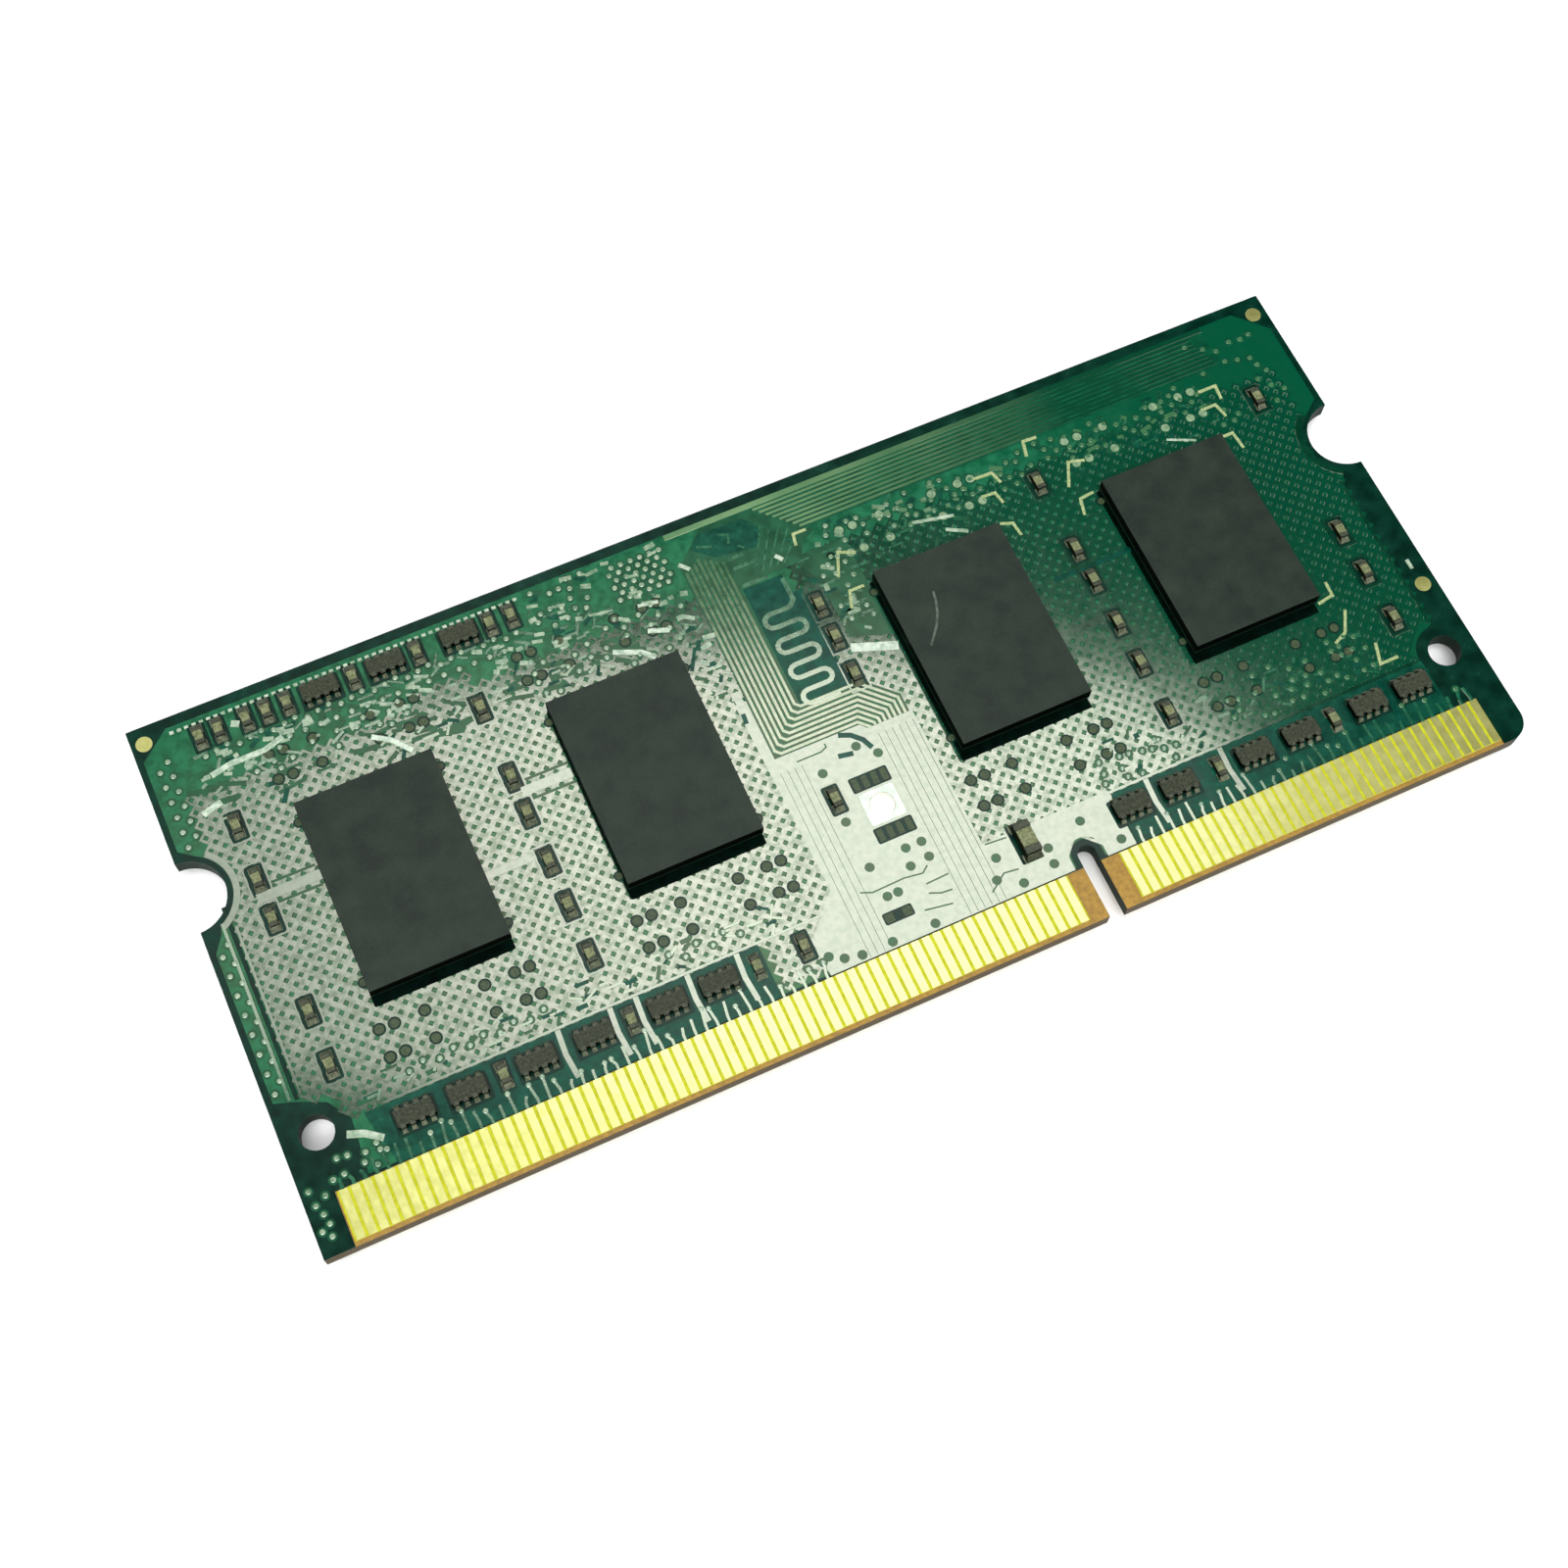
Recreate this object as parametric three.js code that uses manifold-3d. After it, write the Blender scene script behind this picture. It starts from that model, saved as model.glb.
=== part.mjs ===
// A 204-contact small-outline memory module: one laminate board with four rows of gold contacts,
// eight ball-grid memory packages, a small configuration memory, resistor arrays and capacitors.
// Units are millimetres. The module lies flat with its rear face up: +X runs along the long edge,
// +Y from the contact edge to the top edge, and z = 0 is the underside of the lower packages.

import * as THREE from "three";
import { mergeVertices } from "three/addons/utils/BufferGeometryUtils.js";
import Module from "manifold-3d";

const wasm = await Module();
wasm.setup();

// Board. Places on it are given from its left side edge and from its contact edge.
const BOARD_LENGTH = 67.6;
const BOARD_WIDTH = 30;
const BOARD_THICKNESS = 1;
const CORNER_RADIUS = 1.2;
const CORNER_SEGMENTS = 5;
const LATCH_NOTCH_Y = 20;
const LATCH_NOTCH_RADIUS = 2;
const LATCH_NOTCH_SEGMENTS = 15; // odd, so that the deepest facet is square to X
const KEY_X = 42.8;
const KEY_WIDTH = 1;
const KEY_DEPTH = 4;
const KEY_END_SEGMENTS = 8;
const HOLE_DIAMETER = 1.8;
const HOLE_INSET = 1.8;
const HOLE_Y = 6;
const HOLE_SEGMENTS = 20;

// Edge contacts: the same 66 and 36 fingers on each face, either side of the key.
const CONTACT_PITCH = 0.6;
const CONTACT_WIDTH = 0.45;
const CONTACT_THICKNESS = 0.04;
const CONTACT_START_Y = 0.25;
const CONTACT_END_Y = 2.7;
const CONTACT_LINK_WIDTH = 0.15; // the strip that joins the fingers at their inner ends
const LONG_ROW = { firstX: 2, count: 66 };
const SHORT_ROW = { firstX: 44.6, count: 36 };

// Memory packages: 78 solder balls, a thin carrier, and a moulded cap over the silicon.
const PACKAGE_WIDTH = 7.5;
const PACKAGE_LENGTH = 11;
const BALL_HEIGHT = 0.3;
const CARRIER_THICKNESS = 0.25;
const CAP_THICKNESS = 0.65;
const PACKAGE_HEIGHT = BALL_HEIGHT + CARRIER_THICKNESS + CAP_THICKNESS;
const BALL_DIAMETER = 0.46;
const BALL_PITCH = 0.8;
const BALL_ROWS = 13;
const BALL_COLUMNS = [-4, -3, -2, 2, 3, 4]; // in pitches from the middle
const BALL_SIDES = 4;
const JOIN_DEPTH = 0.05; // how far joined pieces of one solid run into each other
const DIE = { width: 5.6, length: 8.8, thickness: 0.3 };
const DIE_CLEARANCE = 0.05;
const PACKAGE_Y = 16.7;
const PACKAGE_XS = [10.4, 24.25, 43.15, 57];

// Configuration memory on the hidden face, between its middle packages.
const EEPROM_PLACE = [33.7, 19.5];
const EEPROM = { width: 2, length: 3, height: 0.5 };
const LEAD = { width: 0.25, pitch: 0.5, perEnd: 4, thickness: 0.1, reach: 0.06 };
const PADDLE_LENGTH = 1.6;

// Four-element resistor arrays, long side along the module.
const ARRAY = { length: 2, width: 1, height: 0.45 };
const ARRAY_GROOVE = { pitch: 0.5, width: 0.2, depth: 0.12, count: 3 };
const ARRAY_LOW_ROW_Y = 4.9;
const ARRAY_LOW_ROW_XS = [6.5, 9.25, 12.9, 15.95, 19.9, 22.7, 46.1, 48.9, 53.4, 56.2, 60.3, 63];
const ARRAY_TOP_ROW_Y = 28.2;
const ARRAY_TOP_ROW_XS = [10.1, 13.75, 17.9];

// Two-terminal capacitors, long side across the module. The last one is a size larger.
const CAPACITOR = { width: 0.5, length: 1, height: 0.5, terminal: 0.25 };
const BULK_CAPACITOR = { width: 0.9, length: 1.8, height: 0.8, terminal: 0.35 };
const TERMINAL_STEP = 0.02; // how far a terminal stands out past the ceramic
const LEFT_COLUMN = { x: 17.4, ys: [23.8, 19.5, 17.3, 14.4, 11.8, 8.9] };
const RIGHT_COLUMN = { x: 50.4, ys: [24, 19.5, 17.4, 14.6, 12, 8.8] };
const LONE_CAPACITOR_PLACE = [32.2, 11.5];
const BULK_CAPACITOR_PLACE = [40.2, 5.4];

const BOARD_BOTTOM = PACKAGE_HEIGHT;
const BOARD_TOP = BOARD_BOTTOM + BOARD_THICKNESS;

const FINISH = {
  laminate: { color: 0x005a32, roughness: 0.45, metalness: 0 },
  gold: { color: 0xe0c050, roughness: 0.3, metalness: 1 },
  carrier: { color: 0x2f4a2c, roughness: 0.6, metalness: 0 },
  mould: { color: 0x3c4240, roughness: 0.7, metalness: 0 },
  silicon: { color: 0x50565e, roughness: 0.2, metalness: 0.4 },
  tinned: { color: 0xb4b6b4, roughness: 0.35, metalness: 1 },
  array: { color: 0x4c4a44, roughness: 0.5, metalness: 0.1 },
  ceramic: { color: 0x96966e, roughness: 0.5, metalness: 0.1 },
};

// Helpers ----------------------------------------------------------------------------------------

function mesh(name, geometry, finish) {
  const made = new THREE.Mesh(geometry, new THREE.MeshStandardMaterial(FINISH[finish]));
  made.name = name;
  return made;
}

function solidOf(geometry) {
  const bare = geometry.clone();
  bare.deleteAttribute("normal");
  bare.deleteAttribute("uv");
  const merged = mergeVertices(bare);
  return new wasm.Manifold(
    new wasm.Mesh({
      numProp: 3,
      vertProperties: merged.attributes.position.array,
      triVerts: new Uint32Array(merged.index.array),
    }),
  );
}

function geometryOf(solid) {
  const made = solid.getMesh();
  return new THREE.BufferGeometry()
    .setAttribute("position", new THREE.BufferAttribute(made.vertProperties, 3))
    .setIndex(new THREE.BufferAttribute(made.triVerts, 1));
}

function joined(geometries) {
  return geometryOf(geometries.map(solidOf).reduce((all, next) => all.add(next)));
}

// A box whose base is centred on (x, y) at height z.
function block(width, length, height, x = 0, y = 0, z = 0) {
  return new THREE.BoxGeometry(width, length, height).translate(x, y, z + height / 2);
}

function slab(outline, thickness, holes = []) {
  const shape = new THREE.Shape(outline);
  shape.holes = holes.map((points) => new THREE.Path(points));
  return new THREE.ExtrudeGeometry(shape, { depth: thickness, bevelEnabled: false });
}

function arc(x, y, radius, start, end, segments) {
  return Array.from({ length: segments + 1 }, (_, i) => {
    const angle = start + ((end - start) * i) / segments;
    return new THREE.Vector2(x + radius * Math.cos(angle), y + radius * Math.sin(angle));
  });
}

// The same count of places, one pitch apart, either side of zero.
function centred(count, pitch) {
  return Array.from({ length: count }, (_, i) => (i - (count - 1) / 2) * pitch);
}

const fromLeft = (x) => x - BOARD_LENGTH / 2;
const fromContactEdge = (y) => y - BOARD_WIDTH / 2;

// Puts an object on the rear face, which is up, or turned over on the front face.
function placed(object, [x, y], onFront = false) {
  object.position.set(fromLeft(x), fromContactEdge(y), onFront ? BOARD_BOTTOM : BOARD_TOP);
  object.rotation.y = onFront ? Math.PI : 0;
  return object;
}

// Board ------------------------------------------------------------------------------------------

function circuitBoard() {
  const right = BOARD_LENGTH / 2;
  const left = -right;
  const top = BOARD_WIDTH / 2;
  const bottom = -top;
  const keyX = fromLeft(KEY_X);
  const keyRadius = KEY_WIDTH / 2;
  const keyCentreY = bottom + KEY_DEPTH - keyRadius;
  const latchY = fromContactEdge(LATCH_NOTCH_Y);
  const quarter = Math.PI / 2;
  const outline = [
    new THREE.Vector2(left, bottom),
    new THREE.Vector2(keyX - keyRadius, bottom),
    ...arc(keyX, keyCentreY, keyRadius, 2 * quarter, 0, KEY_END_SEGMENTS),
    new THREE.Vector2(keyX + keyRadius, bottom),
    ...arc(right - CORNER_RADIUS, bottom + CORNER_RADIUS, CORNER_RADIUS, -quarter, 0, CORNER_SEGMENTS),
    ...arc(right, latchY, LATCH_NOTCH_RADIUS, -quarter, -3 * quarter, LATCH_NOTCH_SEGMENTS),
    new THREE.Vector2(right, top),
    new THREE.Vector2(left, top),
    ...arc(left, latchY, LATCH_NOTCH_RADIUS, quarter, -quarter, LATCH_NOTCH_SEGMENTS),
  ];
  const holes = [HOLE_INSET, BOARD_LENGTH - HOLE_INSET].map((x) =>
    arc(fromLeft(x), fromContactEdge(HOLE_Y), HOLE_DIAMETER / 2, 0, 4 * quarter, HOLE_SEGMENTS).slice(1),
  );
  const board = mesh("circuit_board", slab(outline, BOARD_THICKNESS, holes), "laminate");
  board.position.z = BOARD_BOTTOM;
  return board;
}

// Contacts ---------------------------------------------------------------------------------------

// One row of fingers as a comb: the link strip joins them at their inner ends.
function contactRow(name, { firstX, count }, onFront) {
  const half = CONTACT_WIDTH / 2;
  const xs = Array.from({ length: count }, (_, i) => fromLeft(firstX + i * CONTACT_PITCH));
  const start = fromContactEdge(CONTACT_START_Y);
  const inner = fromContactEdge(CONTACT_END_Y - CONTACT_LINK_WIDTH);
  const end = fromContactEdge(CONTACT_END_Y);
  const fingers = xs.flatMap((x) => [
    new THREE.Vector2(x - half, inner),
    new THREE.Vector2(x - half, start),
    new THREE.Vector2(x + half, start),
    new THREE.Vector2(x + half, inner),
  ]);
  const outline = [
    ...fingers.slice(1, -1),
    new THREE.Vector2(xs.at(-1) + half, end),
    new THREE.Vector2(xs[0] - half, end),
  ];
  const row = mesh(name, slab(outline, CONTACT_THICKNESS), "gold");
  row.position.z = onFront ? BOARD_BOTTOM - CONTACT_THICKNESS : BOARD_TOP;
  return row;
}

// Memory packages --------------------------------------------------------------------------------

function carrierWithBalls() {
  const height = BALL_HEIGHT + JOIN_DEPTH;
  const balls = BALL_COLUMNS.flatMap((column) =>
    centred(BALL_ROWS, BALL_PITCH).map((y) =>
      slab(arc(column * BALL_PITCH, y, BALL_DIAMETER / 2, 0, 2 * Math.PI, BALL_SIDES).slice(1), height),
    ),
  );
  return joined([block(PACKAGE_WIDTH, PACKAGE_LENGTH, CARRIER_THICKNESS, 0, 0, BALL_HEIGHT), ...balls]);
}

// The cap's pocket for the silicon is open towards the carrier.
function mouldCap() {
  const pocket = block(
    DIE.width + 2 * DIE_CLEARANCE,
    DIE.length + 2 * DIE_CLEARANCE,
    JOIN_DEPTH + DIE.thickness + DIE_CLEARANCE,
    0,
    0,
    -JOIN_DEPTH,
  );
  const cap = block(PACKAGE_WIDTH, PACKAGE_LENGTH, CAP_THICKNESS);
  return geometryOf(solidOf(cap).subtract(solidOf(pocket)));
}

const sharedCarrier = carrierWithBalls();
const sharedCap = mouldCap();

function memoryPackage(name, place, onFront) {
  const carrierTop = BALL_HEIGHT + CARRIER_THICKNESS;
  const group = new THREE.Group();
  const carrier = mesh(name + "_carrier_and_balls", sharedCarrier, "carrier");
  const die = mesh(name + "_die", block(DIE.width, DIE.length, DIE.thickness), "silicon");
  const cap = mesh(name + "_mould_cap", sharedCap, "mould");
  die.position.z = carrierTop;
  cap.position.z = carrierTop;
  group.add(carrier, die, cap);
  return placed(group, place, onFront);
}

// Configuration memory ---------------------------------------------------------------------------

function configurationMemory() {
  const group = new THREE.Group();
  const outerY = EEPROM.length / 2 + LEAD.reach;
  const leadLength = outerY - PADDLE_LENGTH / 2 + JOIN_DEPTH;
  const leads = [-1, 1].flatMap((end) =>
    centred(LEAD.perEnd, LEAD.pitch).map((x) =>
      block(LEAD.width, leadLength, LEAD.thickness, x, end * (outerY - leadLength / 2)),
    ),
  );
  const paddle = block(LEAD.perEnd * LEAD.pitch, PADDLE_LENGTH, LEAD.thickness);
  const leadframe = mesh("config_memory_leadframe", joined([paddle, ...leads]), "tinned");
  const body = block(EEPROM.width, EEPROM.length, EEPROM.height - LEAD.thickness);
  const moulding = mesh("config_memory_body", body, "mould");
  moulding.position.z = LEAD.thickness;
  group.add(leadframe, moulding);
  return placed(group, EEPROM_PLACE, true);
}

// Resistor arrays and capacitors -----------------------------------------------------------------

// The grooves in both long sides part the four pairs of terminals.
function arrayOutline() {
  const halfLength = ARRAY.length / 2;
  const halfWidth = ARRAY.width / 2;
  const halfGroove = ARRAY_GROOVE.width / 2;
  const floor = halfWidth - ARRAY_GROOVE.depth;
  const nearSide = centred(ARRAY_GROOVE.count, ARRAY_GROOVE.pitch).flatMap((x) => [
    new THREE.Vector2(x - halfGroove, -halfWidth),
    new THREE.Vector2(x - halfGroove, -floor),
    new THREE.Vector2(x + halfGroove, -floor),
    new THREE.Vector2(x + halfGroove, -halfWidth),
  ]);
  const half = [
    new THREE.Vector2(-halfLength, -halfWidth),
    ...nearSide,
    new THREE.Vector2(halfLength, -halfWidth),
  ];
  return [...half, ...half.map((point) => point.clone().negate())];
}

const sharedArray = slab(arrayOutline(), ARRAY.height);

function resistorArray(index, place) {
  return placed(mesh("resistor_array_" + index, sharedArray, "array"), place);
}

function capacitorGeometry({ width, length, height, terminal }) {
  const wide = width / 2;
  const narrow = wide - TERMINAL_STEP;
  const inner = length / 2 - terminal;
  const half = [
    new THREE.Vector2(-wide, -length / 2),
    new THREE.Vector2(wide, -length / 2),
    new THREE.Vector2(wide, -inner),
    new THREE.Vector2(narrow, -inner),
    new THREE.Vector2(narrow, inner),
    new THREE.Vector2(wide, inner),
  ];
  return slab([...half, ...half.map((point) => point.clone().negate())], height);
}

function capacitor(index, place, size) {
  return placed(mesh("capacitor_" + index, capacitorGeometry(size), "ceramic"), place);
}

// Assembly ---------------------------------------------------------------------------------------

const module204 = new THREE.Group();
module204.add(
  circuitBoard(),
  contactRow("rear_contacts_long_row", LONG_ROW, false),
  contactRow("rear_contacts_short_row", SHORT_ROW, false),
  contactRow("front_contacts_long_row", LONG_ROW, true),
  contactRow("front_contacts_short_row", SHORT_ROW, true),
);

for (const [side, onFront] of [["rear", false], ["front", true]]) {
  PACKAGE_XS.forEach((x, i) => {
    module204.add(memoryPackage(side + "_dram_" + (i + 1), [x, PACKAGE_Y], onFront));
  });
}

module204.add(configurationMemory());

const arrayPlaces = [
  ...ARRAY_LOW_ROW_XS.map((x) => [x, ARRAY_LOW_ROW_Y]),
  ...ARRAY_TOP_ROW_XS.map((x) => [x, ARRAY_TOP_ROW_Y]),
];
arrayPlaces.forEach((place, i) => module204.add(resistorArray(i + 1, place)));

const smallPlaces = [
  ...[LEFT_COLUMN, RIGHT_COLUMN].flatMap(({ x, ys }) => ys.map((y) => [x, y])),
  LONE_CAPACITOR_PLACE,
];
smallPlaces.forEach((place, i) => module204.add(capacitor(i + 1, place, CAPACITOR)));
module204.add(capacitor(smallPlaces.length + 1, BULK_CAPACITOR_PLACE, BULK_CAPACITOR));

export default module204;
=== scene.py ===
"""A small-outline memory module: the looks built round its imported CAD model.

Plan positions are in board millimetres, x from the left edge and y from the contact edge.
Heights are in millimetres above the face that a feature lies on.
"""

import math

import bpy
import numpy as np
from mathutils import Matrix, Vector
from mathutils.geometry import tessellate_polygon


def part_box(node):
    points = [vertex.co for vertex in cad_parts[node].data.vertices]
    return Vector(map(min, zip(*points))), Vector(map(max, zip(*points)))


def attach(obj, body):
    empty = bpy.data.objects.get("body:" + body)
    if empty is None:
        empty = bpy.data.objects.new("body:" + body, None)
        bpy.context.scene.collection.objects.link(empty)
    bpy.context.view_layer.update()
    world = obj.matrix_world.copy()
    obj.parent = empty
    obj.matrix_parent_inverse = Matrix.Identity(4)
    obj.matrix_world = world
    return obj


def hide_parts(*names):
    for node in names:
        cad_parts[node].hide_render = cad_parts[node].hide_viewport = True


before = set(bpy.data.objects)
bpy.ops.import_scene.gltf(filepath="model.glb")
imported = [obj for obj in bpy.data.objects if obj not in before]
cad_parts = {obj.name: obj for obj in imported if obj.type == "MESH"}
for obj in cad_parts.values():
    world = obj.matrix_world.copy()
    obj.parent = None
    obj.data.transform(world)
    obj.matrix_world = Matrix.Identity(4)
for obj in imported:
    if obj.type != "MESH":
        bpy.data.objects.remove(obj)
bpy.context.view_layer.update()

MM = 0.001
BODY = "root"
SIDES = ("rear", "front")
BOARD_LOW, BOARD_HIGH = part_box("circuit_board")
LENGTH = (BOARD_HIGH.x - BOARD_LOW.x) / MM
WIDTH = (BOARD_HIGH.y - BOARD_LOW.y) / MM
THICKNESS = (BOARD_HIGH.z - BOARD_LOW.z) / MM

# The board's outline.
KEY_X, KEY_WIDTH, KEY_DEPTH = 42.8, 1.0, 4.0
LATCH_Y, LATCH_RADIUS = 20.0, 2.0
HOLE_RADIUS = 0.9
HOLES = ((1.8, 6.0), (65.8, 6.0))
CORNER_RADIUS = 1.2

# Heights of the layers on each face.
LAMINATE, MASK, INNER_SHEET, BED = -0.02, 0.0, 0.006, 0.024
MASK_FOOT, CONTACT_FOOT = MASK - 0.002, LAMINATE - 0.004
COPPER, GAP, DARK_GAP, TRACK, PAD, INK = 0.03, 0.032, 0.036, 0.04, 0.046, 0.052
BALL_HEIGHT, CARRIER_HEIGHT, MOULD_HEIGHT = 0.3, 0.25, 0.65
# Tops that overlap differ by a few hairs, counted off by the points already drawn.
HAIR, MOST_HAIRS = 0.00004, 89

# The gold contacts.
FINGER_PITCH, FINGER_WIDTH = 0.6, 0.45
FINGER_LOW, FINGER_HIGH = 0.25, 2.88
FINGER_ROWS = ((2.0, 66), (44.6, 36))
CONTACT_LEFT, CONTACT_RIGHT, CONTACT_TOP = 1.6, 65.85, 2.9

# The hatched copper: a square lattice of diamond openings.
HALF_STEP = 0.385
OPENING_TOP, OPENING_BASE = 0.175, 0.12

# The packages.
CHIP_X = (10.4, 24.25, 43.15, 57.0)
CHIP_Y, CHIP_W, CHIP_L = 16.7, 7.5, 11.0
BALL_PITCH, BALL_RADIUS = 0.8, 0.22
DUMMY_ROWS = (8.05, 9.6, 24.3, 25.8)
DUMMY_OFFSETS = (-4.0, -3.2, -1.6, 1.6, 3.2, 4.0)

LOW_ARRAYS = (6.5, 9.25, 12.9, 15.95, 19.9, 22.7, 46.1, 48.9, 53.4, 56.2, 60.3, 63.0)
TOP_ARRAYS = (10.1, 13.75, 17.9)
LOW_ROW_Y, TOP_ROW_Y = 4.9, 28.2
ARRAYS = [(x, LOW_ROW_Y) for x in LOW_ARRAYS] + [(x, TOP_ROW_Y) for x in TOP_ARRAYS]

# Two-terminal parts, as (x, y) and as (width, length, height). The thirteen of SOLID_CHIPS and
# the bulk chip stand where the fourteen CAD capacitors do.
CHIP_SIZE, BULK_SIZE, LOW_CHIP_SIZE = (0.5, 1.0, 0.5), (0.9, 1.8, 0.8), (0.5, 1.0, 0.45)
SOLID_CHIPS = (
    [(17.4, y) for y in (23.8, 19.5, 17.3, 14.4, 11.8, 8.9)]
    + [(50.4, y) for y in (24.0, 19.5, 17.4, 14.6, 12.0, 8.8)] + [(32.2, 11.5)]
)
BULK_CHIP = (40.2, 5.4)
EXTRA_CHIPS = (
    [(x, LOW_ROW_Y) for x in (11.15, 17.95, 24.8, 27.4, 51.3, 58.2)]
    + [(x, TOP_ROW_Y) for x in (3.45, 4.5, 6.0, 7.1, 8.25, 11.9, 15.5, 19.65, 20.85)]
    + [(3.55, y) for y in (22.7, 19.5, 17.2, 11.9, 8.9)]
    + [(64.2, y) for y in (23.9, 14.6, 11.9, 8.8)]
    + [(36.2, y) for y in (22.1, 20.0, 17.6)]
)


# ---- mesh tools


def circle(x, y, radius, steps, start=0.0, end=360.0):
    """Points of an arc, counter-clockwise; a full circle doesn't repeat its first point."""
    full = abs(end - start) >= 360.0
    count = steps if full else steps + 1
    turn = [math.radians(start + (end - start) * i / steps) for i in range(count)]
    return [(x + radius * math.cos(a), y + radius * math.sin(a)) for a in turn]


def rectangle(x, y, width, length, radius=0.0, steps=2):
    """A rectangle centred at (x, y), with round corners where it has a radius."""
    a, b = width / 2 - radius, length / 2 - radius
    if radius <= 0:
        return [(x - a, y - b), (x + a, y - b), (x + a, y + b), (x - a, y + b)]
    points = []
    for i, (sx, sy) in enumerate(((1, 1), (-1, 1), (-1, -1), (1, -1))):
        points += circle(x + sx * a, y + sy * b, radius, steps, 90 * i, 90 * i + 90)
    return points


def offset(outline, distance):
    """A counter-clockwise outline with each side moved outwards by distance."""
    moved = []
    for i, here in enumerate(outline):
        before, after = outline[i - 1], outline[(i + 1) % len(outline)]
        a = np.array((here[1] - before[1], before[0] - here[0]), float)
        b = np.array((after[1] - here[1], here[0] - after[0]), float)
        a /= np.hypot(*a)
        b /= np.hypot(*b)
        mitre = (a + b) / max(0.3, 1 + a @ b)
        moved.append((here[0] + distance * mitre[0], here[1] + distance * mitre[1]))
    return moved


def lifted(outline, height):
    return [(x, y, height) for x, y in outline]


def placed(name, data):
    """A new object in the scene."""
    made = bpy.data.objects.new(name, data)
    bpy.context.scene.collection.objects.link(made)
    return made


class Shape:
    """Closed solids gathered into one piece, in board millimetres."""

    def __init__(self):
        self.points, self.faces, self.slots = [], [], []

    def add(self, points, faces, slot=0):
        start = len(self.points)
        self.points += points
        self.faces += [tuple(start + i for i in face) for face in faces]
        self.slots += [slot] * len(faces)

    def unlike(self, height):
        """The height and a few hairs more, so that overlapping tops never coincide."""
        return height + HAIR * (len(self.points) % MOST_HAIRS)

    def loft(self, rings, slot=0):
        """Skins rings that rise from the lowest to the highest, and caps both ends."""
        n = len(rings[0])
        faces = [tuple(reversed(range(n)))]
        for level in range(len(rings) - 1):
            low, high = level * n, level * n + n
            faces += [(low + i, low + (i + 1) % n, high + (i + 1) % n, high + i) for i in range(n)]
        top = (len(rings) - 1) * n
        faces.append(tuple(range(top, top + n)))
        self.add([p for ring in rings for p in ring], faces, slot)

    def plate(self, outline, high, slope=0.0, slot=0, low=MASK):
        """A flat piece whose top edge is chamfered by slope; it stands on the mask by default."""
        high = self.unlike(high)
        rings = [lifted(outline, low), lifted(outline, high)]
        if slope > 0:
            shoulder = max(low + 0.2 * (high - low), high - slope)
            rings[1:] = [lifted(outline, shoulder), lifted(offset(outline, -slope), high)]
        self.loft(rings, slot)

    def block(self, outline, low, high, bevel, slot=0):
        """A solid whose top and bottom edges are both bevelled."""
        small = offset(outline, -bevel)
        rings = [lifted(small, low), lifted(outline, low + bevel)]
        self.loft(rings + [lifted(outline, high - bevel), lifted(small, high)], slot)

    def sheet(self, loops, low, high, walls=None):
        """A flat layer: loops are the outline and each hole's, all counter-clockwise.

        walls gives the slot of an upright face from its two end points.
        """
        flat = [p for loop in loops for p in loop]
        n = len(flat)
        faces = []
        for a, b, c in tessellate_polygon([[Vector((x, y, 0)) for x, y in loop] for loop in loops]):
            (ax, ay), (bx, by), (cx, cy) = flat[a], flat[b], flat[c]
            if (bx - ax) * (cy - ay) - (by - ay) * (cx - ax) < 0:
                b, c = c, b
            faces += [(n + a, n + b, n + c), (a, c, b)]
        start = 0
        for loop in loops:
            k = len(loop)
            for i in range(k):
                p, q = start + i, start + (i + 1) % k
                if start > 0:
                    p, q = q, p
                faces.append((p, q, n + q, n + p))
            start += k
        first = len(self.slots)
        self.add(lifted(flat, low) + lifted(flat, high), faces)
        if walls:
            for i, face in enumerate(faces):
                if len(face) == 4:
                    self.slots[first + i] = walls(flat[face[0]], flat[face[1]])

    def ribbon(self, path, width, high, slot=0, closed=False, slope=0.03, low=MASK):
        """A copper track along a path, flat on top with sloping sides and mitred bends."""
        path = [np.array(p, float) for p in path]
        high = self.unlike(high)
        n = len(path)
        points = []
        for i, here in enumerate(path):
            before = path[i - 1] if closed or i else None
            after = path[(i + 1) % n] if closed or i < n - 1 else None
            sides = []
            for start, end in ((before, here), (here, after)):
                if start is not None and end is not None:
                    along = (end - start) / np.hypot(*(end - start))
                    sides.append(np.array((-along[1], along[0])))
            mitre = sum(sides)
            if len(sides) == 2:
                mitre = mitre / max(0.35, 1 + sides[0] @ sides[1])
            foot, top = mitre * width / 2, mitre * (width / 2 - slope)
            points += [(*(here + foot), low), (*(here + top), high)]
            points += [(*(here - top), high), (*(here - foot), low)]
        faces = []
        for i in range(n if closed else n - 1):
            a, b = 4 * i, 4 * ((i + 1) % n)
            for k in range(4):
                j = (k + 1) % 4
                faces.append((a + k, a + j, b + j, b + k))
        if not closed:
            faces += [(3, 2, 1, 0), tuple(4 * n - 4 + k for k in range(4))]
        self.add(points, faces, slot)

    def ribbons(self, lines, high=TRACK, slot=0):
        """One ribbon on the mask for each (path, width) pair."""
        for path, width in lines:
            self.ribbon(path, width, high, slot)

    def ball(self, x, y, radius, low, high, slot=0, steps=8):
        """A squashed solder ball with flat ends."""
        middle, half = (low + high) / 2, (high - low) / 2
        rings = []
        for step in (-1.0, -0.55, 0.0, 0.55, 1.0):
            ring = circle(x, y, radius * math.sqrt(1 - 0.62 * step * step), steps)
            rings.append(lifted(ring, middle + half * step))
        self.loft(rings, slot)

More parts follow.
